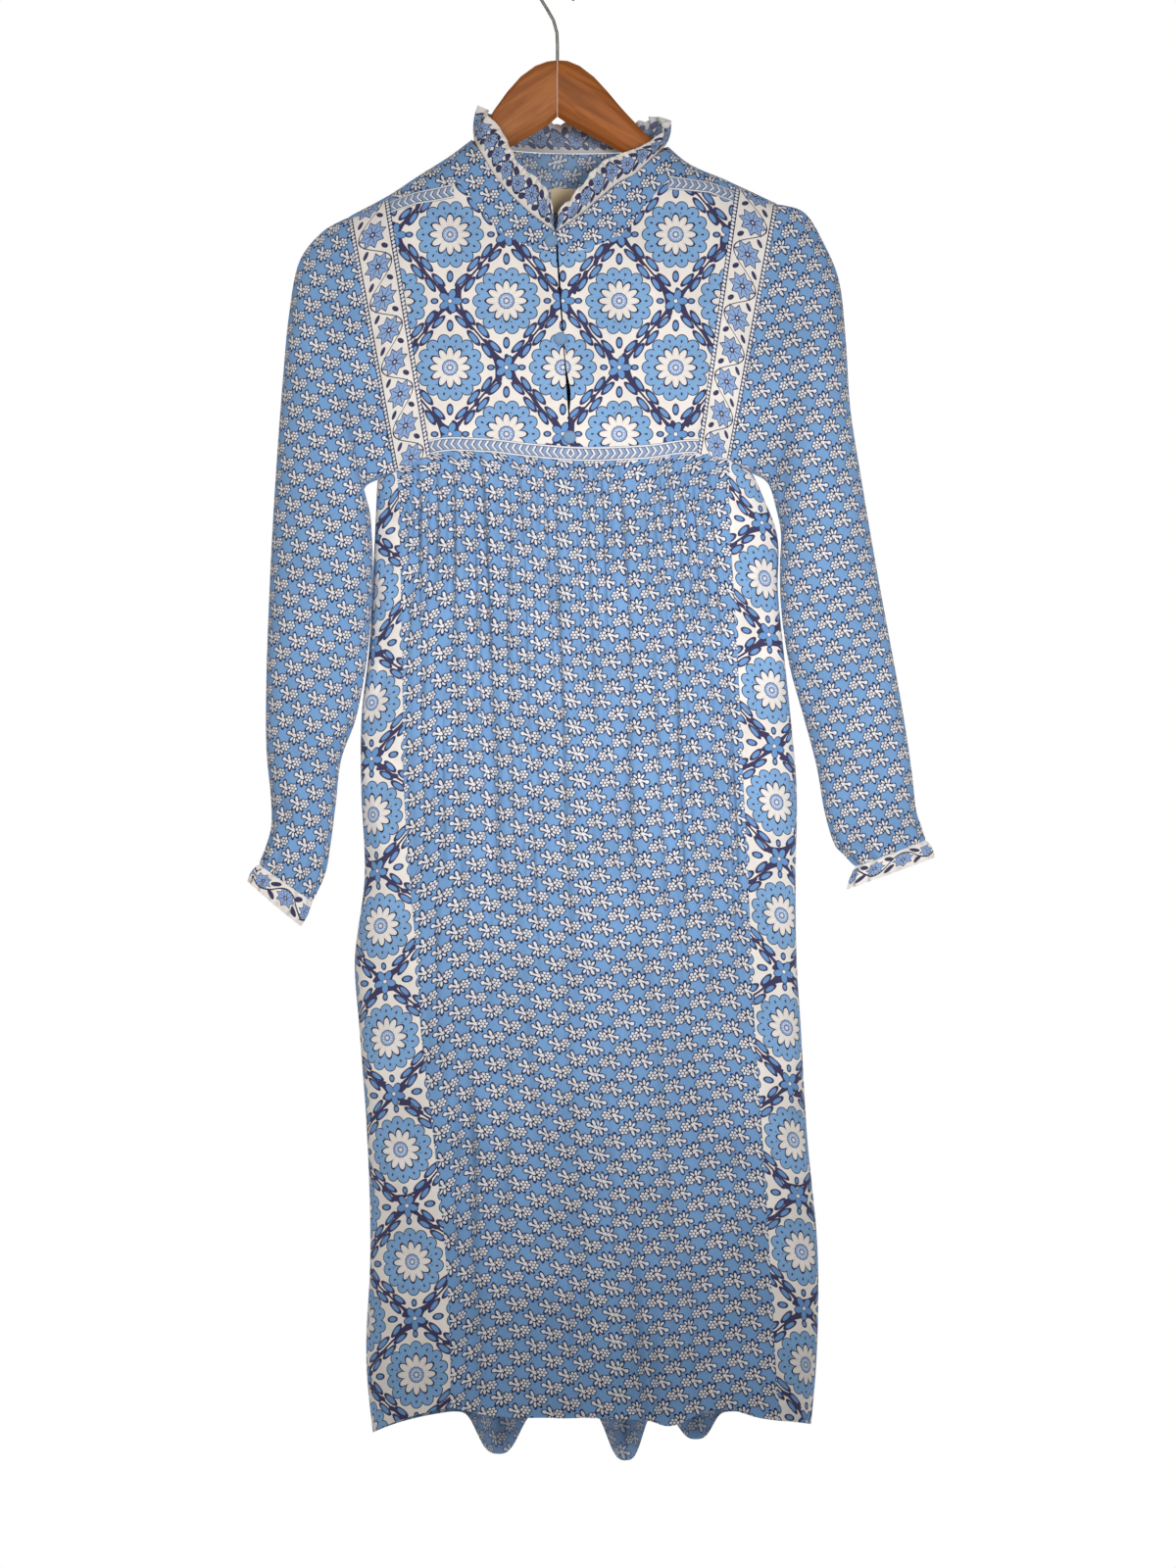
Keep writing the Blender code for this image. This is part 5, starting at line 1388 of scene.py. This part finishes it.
def sprigs(add):
    """Ivory sprigs with a dotted floret and a lobed leaf, outlined in navy on blue. They
    are turned round on the right half of the dress, where the map is over zero."""
    place = flat_mm(add)
    side = add("Math", [add("SeparateXYZ", [place]), 0.0], operation="GREATER_THAN")
    turned = add("VectorMath", {0: place, 3: -1.0}, operation="SCALE")
    spot = from_centre(add, SPRIG_CELL, one_of(add, side, place, turned, "VECTOR"))
    around, _ = spokes(add, add("VectorMath", [spot, (-FLORET[0], -FLORET[1], 0)],
                                operation="ADD"), FLORET_DOTS)
    lobes = [oval(add, spot, centre, radii, lean) for centre, radii, lean in SPRIG_LOBES]
    colour = inked(add, shade("ground"), joined(add, lobes), shade("ivory"),
                   shade("outline"), SPRIG_LINE)
    dots = [oval(add, around, (FLORET_REACH, 0), (FLORET_DOT, FLORET_DOT)),
            oval(add, spot, FLORET, (FLORET_DOT, FLORET_DOT))]
    return inked(add, colour, joined(add, dots), shade("ivory"), shade("outline"), FLORET_LINE)


def trellis(add):
    """Generic large print: scalloped medallions with a daisy in a trellis of navy vines,
    with leaves along it and small flowers where its lines meet."""
    place = add("VectorMath", {0: flat_mm(add), 3: 1 / TRELLIS_SCALE}, operation="SCALE")
    spot = from_centre(add, TRELLIS_CELL, place)
    colour = vines(add, place, spot)
    beside = add("VectorMath", [place, (TRELLIS_CELL[0] / 2, 0, 0)], operation="ADD")
    cross = from_centre(add, TRELLIS_CELL, beside)
    petals, reach = spokes(add, cross, FLOWER_PETALS)
    colour = inked(add, colour, oval(add, petals, (FLOWER_REACH, 0), FLOWER_PETAL),
                   shade("leaf"), shade("outline"), FINE_LINE)
    colour = inked(add, colour, less(add, reach, FLOWER_EYE), shade("cloth"), shade("outline"),
                   FLOWER_EYE_LINE)
    return medallion(add, spot, colour)


def vines(add, place, spot):
    """Navy vines with thorns on ivory cloth, and blue leaves along them."""
    parts = add("SeparateXYZ", [place])
    x, y = parts, parts.node.outputs[1]
    waves = [add("Math", [add("Math", [side, 2 * math.pi / size], operation="MULTIPLY")],
                 operation="COSINE") for side, size in zip((x, y), TRELLIS_CELL)]
    line = add("Math", [add("Math", waves, operation="ADD")], operation="ABSOLUTE")
    along = add("Math", [y, THORN_LEAN, x], operation="MULTIPLY_ADD")
    thorns = add("Math", [add("Math", [along, THORN_TURN], operation="MULTIPLY")],
                 operation="SINE")
    width = add("Math", [add("Math", [thorns, 0.0], operation="MAXIMUM"), THORN_SIZE, VINE_SIZE],
                operation="MULTIPLY_ADD")
    vine = add("Math", [line, width], operation="LESS_THAN")
    colour = one_of(add, vine, shade("cloth"), shade("navy"))
    corner = add("VectorMath", [spot], operation="ABSOLUTE")
    for centre, radii, lean in TRELLIS_LEAVES:
        colour = inked(add, colour, oval(add, corner, centre, radii, lean), shade("leaf"),
                       shade("navy"), LEAF_LINE)
    return colour


def medallion(add, spot, ground):
    """Scalloped medallion with a daisy of layered petals and a dotted disc."""
    scallops, reach = spokes(add, spot, SCALLOPS)
    rim = joined(add, [oval(add, scallops, (SCALLOP_REACH, 0), SCALLOP_SIZE),
                       less(add, reach, SCALLOP_REACH)])
    colour = inked(add, ground, rim, shade("medallion"), shade("outline"), SCALLOP_LINE)
    for out, size in SCALLOP_MARKS:
        colour = inked(add, colour, oval(add, scallops, (out, 0), size), shade("navy"))
    petals, reach = spokes(add, spot, DAISY_PETALS)
    for fill, size, line in DAISY_LAYERS:
        colour = inked(add, colour, oval(add, petals, (DAISY_REACH, 0), size), shade(fill),
                       shade("outline"), line)
    colour = inked(add, colour, less(add, reach, DAISY_DISC), shade("star"), shade("outline"),
                   FINE_LINE)
    dots, _ = spokes(add, spot, DAISY_DOTS)
    colour = inked(add, colour, oval(add, dots, (DAISY_DOT_REACH, 0), DAISY_DOT), shade("ivory"))
    return inked(add, colour, less(add, reach, DAISY_EYE), shade("ivory"), shade("outline"),
                 FINE_LINE)


def banded_trellis(add):
    """The large print with bands of chevrons along its edges, an ivory line on each side."""
    parts = add("SeparateXYZ", [flat_mm(add, "band")])
    run, off = parts, parts.node.outputs[1]
    lean = add("Math", [less(add, off, BAND_WIDTH / 2)], operation="ABSOLUTE")
    run = add("Math", [lean, -CHEVRON_LEAN, run], operation="MULTIPLY_ADD")
    phase = add("Math", [add("Math", [run, 1 / CHEVRON_STEP], operation="MULTIPLY")],
                operation="FRACT")
    blue = add("Math", [phase, 0.5], operation="GREATER_THAN")
    colour = one_of(add, blue, shade("ivory"), shade("band"))
    lines = [add("Math", [phase, at, CHEVRON_LINE], operation="COMPARE") for at in (0.5, 0.0)]
    colour = one_of(add, add("Math", lines, operation="MAXIMUM"), colour, shade("band_line"))
    for inset, name in BAND_EDGES:
        rim = add("Math", [lean, BAND_WIDTH / 2 - inset], operation="GREATER_THAN")
        colour = one_of(add, rim, colour, shade(name))
    inside = add("Math", [off, BAND_WIDTH], operation="LESS_THAN")
    return one_of(add, inside, trellis(add), colour)


def vine_strip(step, sway, star, line_width, leaf, beads, add):
    """Printed strip: star flowers in a row, a thin navy vine that weaves between them,
    small dark leaves, and a line of beads at each edge where beads is set."""
    place = flat_mm(add)
    parts = add("SeparateXYZ", [place])
    run, off = parts, parts.node.outputs[1]
    turn = add("Math", [run, math.pi / step], operation="MULTIPLY")
    path = add("Math", [add("Math", [turn], operation="COSINE"), sway], operation="MULTIPLY")
    line = add("Math", [off, path, line_width], operation="COMPARE")
    colour = one_of(add, line, shade("cloth"), shade("outline"))
    for side in (1, -1):
        spot = stepped(add, (step, STRIP_FAR), place, (step / 2, -side * star * STRIP_LEAF_SHARE))
        colour = inked(add, colour, oval(add, spot, (0, 0), leaf, side * STRIP_LEAF_LEAN),
                       shade("navy"), shade("outline"), STRIP_LEAF_LINE)
    colour = star_flower(add, stepped(add, (step, STRIP_FAR), place, (0, 0)), star, colour)
    if not beads:
        return colour
    aside = add("Math", [off], operation="ABSOLUTE")
    band = add("Math", [aside, BEAD_AT, BEAD_BAND], operation="COMPARE")
    place = add("CombineXYZ", [run, less(add, aside, BEAD_AT)])
    bead = oval(add, stepped(add, (BEAD_PITCH, STRIP_FAR), place, (0, 0)), (0, 0), BEAD_SIZE)
    return one_of(add, band, colour, inked(add, shade("outline"), bead, shade("ivory")))


def star_flower(add, spot, size, ground):
    """Star flower with a vein in each ray and a dark eye."""
    ray, out = spokes(add, spot, STAR_POINTS)
    parts = add("SeparateXYZ", [ray])
    side = add("Math", [parts.node.outputs[1]], operation="ABSOLUTE")
    tip = add("Math", [side, STAR_SLOPE, parts], operation="MULTIPLY_ADD")
    shape = add("Math", [less(add, tip, size), STAR_FALL], operation="MULTIPLY")
    colour = inked(add, ground, shape, shade("star"), shade("outline"), STAR_LINE)
    vein = add("Math", [side, STAR_VEIN], operation="LESS_THAN")
    short = add("Math", [out, size * STAR_VEIN_SHARE], operation="LESS_THAN")
    vein = add("Math", [vein, short], operation="MULTIPLY")
    colour = one_of(add, vein, colour, shade("outline"))
    colour = inked(add, colour, less(add, out, size * STAR_EYE_SHARE), shade("navy"),
                   shade("navy"), STAR_EYE_LINE)
    return inked(add, colour, less(add, out, size * STAR_PIP_SHARE), shade("ivory"))


def paint_cotton(pattern, name):
    """Printed cotton: a paler reverse, slight unevenness of the dye, a fine thread texture
    drawn coarser than real, soft crinkles too small to model, and a faint fuzz."""
    made, add = painter(name)
    colour = pattern(add)
    inside = add("Attribute", output=2, attribute_name="inside")
    faded = one_of(add, REVERSE_FADE, colour, shade("reverse"))
    colour = one_of(add, inside, colour, faded)
    place = flat_mm(add)
    spots = add("TexNoise", {"Vector": place, "Scale": DYE_PATCHES, "Detail": 3.0},
                noise_dimensions="2D")
    tone = add("MapRange", [spots, *NOISE_RANGE, *DYE_RANGE])
    colour = add("Mix", {0: 1.0, 6: colour, 7: add("CombineColor", [tone, tone, tone])},
                 output=2, data_type="RGBA", blend_type="MULTIPLY")
    threads = add("TexWave", {"Vector": place, "Scale": THREAD_TURNS}, output=1)
    on_body = add("TexCoord", output=3)
    crease = add("TexNoise", {"Vector": on_body, "Scale": CRINKLE_REPEATS, "Detail": 3.0,
                              "Distortion": 1.1})
    fine = add("TexNoise", {"Vector": on_body, "Scale": FINE_CRINKLE_REPEATS, "Detail": 2.0})
    height = add("Math", [fine, FINE_CRINKLE_SHARE, crease], operation="MULTIPLY_ADD")
    height = add("Math", [threads, THREAD_SHARE, height], operation="MULTIPLY_ADD")
    relief = add("Bump", {"Strength": 1.0, "Distance": bpy.context.scene.dress_sizes.crinkle,
                          "Height": height})
    shader = add("BsdfPrincipled", {"Base Color": colour, "Roughness": 0.88, "Normal": relief,
                                    "Sheen Weight": 0.12, "Sheen Roughness": 0.6,
                                    "Specular IOR Level": 0.25})
    add("OutputMaterial", [shader])
    return made


def paint_label(name):
    """Blank satin label: fine ribs of thread across it, a little shine, and a tone painted
    brighter than its own as painted light for the shade inside the neck.
    """
    made, add = painter(name)
    ribs = add("TexWave", {"Vector": flat_mm(add), "Scale": RIB_TURNS}, output=1,
               bands_direction="Y")
    colour = one_of(add, ribs, *(linear(text) for text in LABEL_SATIN_WITH_PAINTED_LIGHT))
    relief = add("Bump", {"Strength": 0.6, "Distance": 0.15 * MM, "Height": ribs})
    shader = add("BsdfPrincipled", {"Base Color": colour, "Roughness": 0.5, "Normal": relief})
    add("OutputMaterial", [shader])
    return made


def paint_button(name):
    """Plain blue cotton pulled over a domed button: a tight weave, drawn coarser than real."""
    made, add = painter(name)
    place = add("TexCoord", output=3)
    weave = add("TexChecker", {"Vector": place, "Scale": WEAVE_REPEATS}, output=1)
    colour = one_of(add, weave, *(linear(text) for text in BUTTON_COTTON))
    relief = add("Bump", {"Strength": 0.5, "Distance": 0.1 * MM, "Height": weave})
    shader = add("BsdfPrincipled", {"Base Color": colour, "Roughness": 0.8, "Normal": relief,
                                    "Sheen Weight": 0.1})
    add("OutputMaterial", [shader])
    return made


def paint_wood(colours, lean, name):
    """Varnished wood: long grain that follows the arm, fine pores, and a satin coat."""
    made, add = painter(name)
    dark, light = (linear(text) for text in colours)
    place = add("Mapping", [add("TexCoord", output=3), (0, 0, 0), (0, math.radians(lean), 0),
                            (1, 1, 1)])
    stretched = add("VectorMath", [place, GRAIN_REPEATS], operation="MULTIPLY")
    grain = add("TexNoise", {"Vector": stretched, "Scale": 1.0, "Detail": 5.0,
                             "Roughness": 0.6, "Distortion": 0.8})
    share = add("MapRange", [grain, *GRAIN_RANGE, 0.0, 1.0])
    colour = one_of(add, share, dark, light)
    pores = add("VectorMath", [place, PORE_REPEATS], operation="MULTIPLY")
    pores = add("TexNoise", {"Vector": pores, "Scale": 1.0, "Detail": 2.0})
    dust = add("MapRange", [pores, *PORE_RANGE, 0.0, PORE_SHARE])
    colour = one_of(add, dust, colour, dark)
    relief = add("Bump", {"Strength": 0.3, "Distance": 0.2 * MM, "Height": share})
    shader = add("BsdfPrincipled", {"Base Color": colour, "Roughness": 0.55, "Normal": relief,
                                    "Specular IOR Level": 0.3, "Coat Weight": 0.06,
                                    "Coat Roughness": 0.3})
    add("OutputMaterial", [shader])
    return made


def paint_wire(name):
    """Dull zinc plated wire: grey metal, unevenly polished along its length."""
    made, add = painter(name)
    place = add("TexCoord", output=3)
    spots = add("TexNoise", {"Vector": place, "Scale": POLISH_REPEATS, "Detail": 3.0})
    rough = add("MapRange", [spots, *NOISE_RANGE, *WIRE_ROUGHNESS])
    colour = one_of(add, spots, *(linear(text) for text in ZINC))
    shader = add("BsdfPrincipled", {"Base Color": colour, "Roughness": rough, "Metallic": 1.0})
    add("OutputMaterial", [shader])
    return made


def paint_backdrop(name):
    """White paper sweep, lit so evenly that it shows no shadow of the dress."""
    made, add = painter(name)
    shine = add("Emission", [linear(WHITE), bpy.context.scene.dress_studio.backdrop])
    add("OutputMaterial", [shine])
    return made


# Each look by its name. Sprigs: body, sleeves, neck and shoulders. Large print: side panels,
# and banded the front yokes. Strips: beside the armholes with beads, closer on the collar,
# wider on the cuffs.
PAINTS = {
    "sprig_print": functools.partial(paint_cotton, sprigs),
    "large_side_print": functools.partial(paint_cotton, trellis),
    "large_yoke_print": functools.partial(paint_cotton, banded_trellis),
    "border_strip_print": functools.partial(
        paint_cotton, functools.partial(vine_strip, *BORDER_STRIP)),
    "ruffle_print": functools.partial(paint_cotton, functools.partial(vine_strip, *RUFFLE_STRIP)),
    "cuff_print": functools.partial(paint_cotton, functools.partial(vine_strip, *CUFF_STRIP)),
    "blank_satin_label": paint_label,
    "covered_button_cloth": paint_button,
    "light_wood_varnish": functools.partial(paint_wood, LIGHT_WOOD, WOOD_LEANS[0]),
    "dark_wood_varnish": functools.partial(paint_wood, DARK_WOOD, WOOD_LEANS[1]),
    "zinc_wire": paint_wire,
    "white_backdrop": paint_backdrop,
}


def look(name):
    """The material of that name, made when it is first needed."""
    return bpy.data.materials.get(name) or PAINTS[name](name)


def finish_solid(name, material):
    """A solid that shows as it is gets its material."""
    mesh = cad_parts[name].data
    mesh.materials.clear()
    mesh.materials.append(look(material))


def finish_buttons():
    for name in ("button_top", "button_middle", "button_bottom"):
        finish_solid(name, "covered_button_cloth")


def finish_hanger():
    finish_solid("hanger_bar_left", "light_wood_varnish")
    finish_solid("hanger_bar_right", "dark_wood_varnish")
    finish_solid("hanger_hook", "zinc_wire")


def aimed(light, power, place, target):
    """Puts a light in its place, turned to its target."""
    light.energy = power
    lamp = add_object(light.name, light)
    lamp.location = place
    lamp.rotation_euler = (Vector(target) - Vector(place)).to_track_quat("-Z", "Y").to_euler()
    return lamp


def panel_light(name, place, target, size, colour, power):
    """Large soft rectangle of light."""
    light = bpy.data.lights.new(name, "AREA")
    light.shape = "RECTANGLE"
    light.size, light.size_y = size
    light.color = linear(colour)[:3]
    return aimed(light, power, place, target)


def build_camera():
    """Camera level and straight on, so far away that it sees almost no perspective."""
    data = bpy.data.cameras.new("camera")
    data.sensor_width = SENSOR
    data.sensor_fit = "AUTO"
    data.lens = SENSOR * CAMERA_AWAY / (PHOTO_HEIGHT * PHOTO_MM * MM)
    camera = add_object("camera", data)
    camera.location = (VIEW_MIDDLE[0], DRESS_FRONT - CAMERA_AWAY, VIEW_MIDDLE[2])
    camera.rotation_euler = (LEVEL, 0, 0)
    bpy.context.scene.camera = camera
    return camera


def build_backdrop():
    """White sweep: a floor that curves up into a wall."""
    corner = WALL_BEHIND - SWEEP_CURVE
    cove = [(SWEEP_START, FLOOR_LEVEL)]
    for turn in np.linspace(0, 0.5 * math.pi, SWEEP_STEPS + 1):
        cove.append((corner + SWEEP_CURVE * math.sin(turn),
                     FLOOR_LEVEL + SWEEP_CURVE * (1 - math.cos(turn))))
    cove.append((WALL_BEHIND, WALL_TOP))
    vertices = [(x, y, z) for x in (-SWEEP_HALF_WIDTH, SWEEP_HALF_WIDTH) for y, z in cove]
    count = len(cove)
    faces = [(k, k + 1, k + 1 + count, k + count) for k in range(count - 1)]
    mesh = bpy.data.meshes.new("backdrop")
    mesh.from_pydata(vertices, [], faces)
    mesh.shade_smooth()
    mesh.materials.append(look("white_backdrop"))
    return add_object("backdrop", mesh)


def build_lights(settings):
    """A soft beam on the middle of the dress, and large dim lights round it."""
    beam = bpy.data.lights.new("light_middle", "SPOT")
    beam.shadow_soft_size = BEAM_SOFTNESS
    beam.spot_size = BEAM_ANGLE
    beam.spot_blend = 1.0
    lamps = [aimed(beam, settings.middle, BEAM_PLACE, BEAM_AIM)]
    for power, light in PANEL_LIGHTS.items():
        lamps.append(panel_light(*light, getattr(settings, power)))
    return lamps


def build_stage():
    """Camera, white sweep, lights and even air round the dress."""
    scene = bpy.context.scene
    settings = scene.dress_studio
    camera = build_camera()
    backdrop = build_backdrop()
    lamps = build_lights(settings)
    world = bpy.data.worlds.new("studio_air")
    world.use_nodes = True
    background = world.node_tree.nodes["Background"]
    background.inputs["Color"].default_value = linear(WHITE)
    background.inputs["Strength"].default_value = settings.air
    scene.world = world
    scene.view_settings.view_transform = "Standard"
    scene.view_settings.look = "None"


def length_property(name, text, default, high):
    return bpy.props.FloatProperty(name=name, description=text, default=default, min=0.0,
                                   max=high, subtype="DISTANCE", unit="LENGTH", precision=5)


def colour_property(name, text, default):
    return bpy.props.FloatVectorProperty(name=name, description=text, size=3, min=0.0, max=1.0,
                                         default=linear(default)[:3], subtype="COLOR")


class DressSizes(bpy.types.PropertyGroup):
    """Sizes of the cloth's detail."""

    wall: length_property("Cloth", "Thickness of the cotton", CLOTH_WALL, 0.002)
    seam_dip: length_property("Seam dip", "How far the cloth sinks at a seam", SEAM_DIP, 0.001)
    crinkle: length_property("Crinkle", "Height of the small crinkles in the cloth",
                             CRINKLE, 0.002)
    border_width: length_property("Border strip", "Flat width of the strip beside the armhole",
                                  BORDER_WIDTH, 0.06)
    collar_width: length_property("Collar", "Flat width of the collar ruffle",
                                  COLLAR_WIDTH, 0.05)
    cuff_width: length_property("Cuff", "Flat width of a cuff ruffle", CUFF_WIDTH, 0.05)


class DressColours(bpy.types.PropertyGroup):
    """Colours of the prints."""

    ground: colour_property("Ground", "Blue ground of the sprig cotton", BLUE_GROUND)
    ivory: colour_property("Ivory", "Sprigs, beads and the pale lines", IVORY)
    cloth: colour_property("Ivory cloth", "Ground of the large print and strips", IVORY_CLOTH)
    outline: colour_property("Outline", "Thin navy lines round the motifs", NAVY_LINE)
    navy: colour_property("Navy", "Vines and solid dark marks", NAVY)
    medallion: colour_property("Medallion", "Scalloped medallions", MEDALLION)
    leaf: colour_property("Leaf", "Leaves and small flowers", LEAF_BLUE)
    star: colour_property("Star", "Stars of the strips and discs of the daisies", PERIWINKLE)
    petal: colour_property("Petal shade", "Shaded inner edge of the petals", PETAL_SHADE)
    band: colour_property("Band", "Chevrons of the bands", BAND_BLUE)
    band_line: colour_property("Band line", "Lines of the bands", BAND_LINE)
    reverse: colour_property("Reverse", "Tone that the cloth's reverse fades to", REVERSE)


class StudioSettings(bpy.types.PropertyGroup):
    """Light of the studio."""

    middle: bpy.props.FloatProperty(
        name="Middle light", description="Power of the soft beam on the middle of the dress",
        default=172.0, min=0.0, max=500.0, unit="POWER")
    key: bpy.props.FloatProperty(
        name="Front light", description="Power of the large light in front",
        default=11.0, min=0.0, max=500.0, unit="POWER")
    fill: bpy.props.FloatProperty(
        name="Side light", description="Power of the light from the right",
        default=0.8, min=0.0, max=500.0, unit="POWER")
    low: bpy.props.FloatProperty(
        name="Left light", description="Power of the light from the left",
        default=1.6, min=0.0, max=500.0, unit="POWER")
    air: bpy.props.FloatProperty(
        name="Air", description="Strength of the even light all round",
        default=0.14, min=0.0, max=5.0)
    backdrop: bpy.props.FloatProperty(
        name="Backdrop", description="Brightness of the white sweep behind the dress",
        default=1.0, min=0.0, max=5.0)


class DRESS_OT_skirt(bpy.types.Operator):
    """Make the front and back skirt with their gathers and creases"""

    bl_idname = "dress.skirt"
    bl_label = "Skirt"
    bl_options = {"REGISTER", "UNDO"}

    def execute(self, context):
        build_skirt()
        return {"FINISHED"}


class DRESS_OT_side_panels(bpy.types.Operator):
    """Make the two large-print side panels"""

    bl_idname = "dress.side_panels"
    bl_label = "Side panels"
    bl_options = {"REGISTER", "UNDO"}

    def execute(self, context):
        build_side_panels()
        return {"FINISHED"}


class DRESS_OT_yokes(bpy.types.Operator):
    """Make the neck yokes, front yokes and border strips"""

    bl_idname = "dress.yokes"
    bl_label = "Front yokes"
    bl_options = {"REGISTER", "UNDO"}

    def execute(self, context):
        build_yokes()
        return {"FINISHED"}


class DRESS_OT_shoulder_yoke(bpy.types.Operator):
    """Make the yoke that goes over the shoulders to the back"""

    bl_idname = "dress.shoulder_yoke"
    bl_label = "Shoulder yoke"
    bl_options = {"REGISTER", "UNDO"}

    def execute(self, context):
        build_back_yoke()
        return {"FINISHED"}


class DRESS_OT_collar(bpy.types.Operator):
    """Make the standing ruffle round the neck"""

    bl_idname = "dress.collar"
    bl_label = "Collar ruffle"
    bl_options = {"REGISTER", "UNDO"}

    def execute(self, context):
        build_collar()
        return {"FINISHED"}


class DRESS_OT_sleeves(bpy.types.Operator):
    """Make the sleeves and their cuff ruffles"""

    bl_idname = "dress.sleeves"
    bl_label = "Sleeves"
    bl_options = {"REGISTER", "UNDO"}

    def execute(self, context):
        build_sleeves()
        return {"FINISHED"}


class DRESS_OT_label(bpy.types.Operator):
    """Make the blank label inside the back neck"""

    bl_idname = "dress.label"
    bl_label = "Neck label"
    bl_options = {"REGISTER", "UNDO"}

    def execute(self, context):
        build_label()
        return {"FINISHED"}


class DRESS_OT_buttons(bpy.types.Operator):
    """Cover the three buttons with blue cotton"""

    bl_idname = "dress.buttons"
    bl_label = "Buttons"
    bl_options = {"REGISTER", "UNDO"}

    def execute(self, context):
        finish_buttons()
        return {"FINISHED"}


class DRESS_OT_hanger(bpy.types.Operator):
    """Finish the wooden hanger and its wire hook"""

    bl_idname = "dress.hanger"
    bl_label = "Hanger"
    bl_options = {"REGISTER", "UNDO"}

    def execute(self, context):
        finish_hanger()
        return {"FINISHED"}


class DRESS_OT_stage(bpy.types.Operator):
    """Set up the camera, the soft light and the white backdrop"""

    bl_idname = "dress.stage"
    bl_label = "Studio"
    bl_options = {"REGISTER", "UNDO"}

    def execute(self, context):
        build_stage()
        return {"FINISHED"}


class DRESS_PT_panel(bpy.types.Panel):
    """Lists the dress's settings and operators"""

    bl_idname = "DRESS_PT_panel"
    bl_label = "Dress"
    bl_space_type = "VIEW_3D"
    bl_region_type = "UI"
    bl_category = "Dress"

    def draw(self, context):
        for group in GROUPS:
            settings = getattr(context.scene, group)
            box = self.layout.box()
            for name in GROUPS[group].__annotations__:
                box.prop(settings, name)
        for operator in OPERATORS:
            self.layout.operator(operator.bl_idname)


GROUPS = {"dress_sizes": DressSizes, "dress_colours": DressColours,
          "dress_studio": StudioSettings}
OPERATORS = (DRESS_OT_skirt, DRESS_OT_side_panels, DRESS_OT_yokes, DRESS_OT_shoulder_yoke,
             DRESS_OT_collar, DRESS_OT_sleeves, DRESS_OT_label, DRESS_OT_buttons,
             DRESS_OT_hanger, DRESS_OT_stage)
CLASSES = (*GROUPS.values(), *OPERATORS, DRESS_PT_panel)


def register():
    for made in CLASSES:
        bpy.utils.register_class(made)
    for name, group in GROUPS.items():
        setattr(bpy.types.Scene, name, bpy.props.PointerProperty(type=group))


def unregister():
    for name in GROUPS:
        delattr(bpy.types.Scene, name)
    for made in reversed(CLASSES):
        bpy.utils.unregister_class(made)


def main():
    register()
    bpy.ops.dress.skirt()
    bpy.ops.dress.side_panels()
    bpy.ops.dress.yokes()
    bpy.ops.dress.shoulder_yoke()
    bpy.ops.dress.collar()
    bpy.ops.dress.sleeves()
    bpy.ops.dress.label()
    bpy.ops.dress.buttons()
    bpy.ops.dress.hanger()
    bpy.ops.dress.stage()


if __name__ == "__main__":
    main()
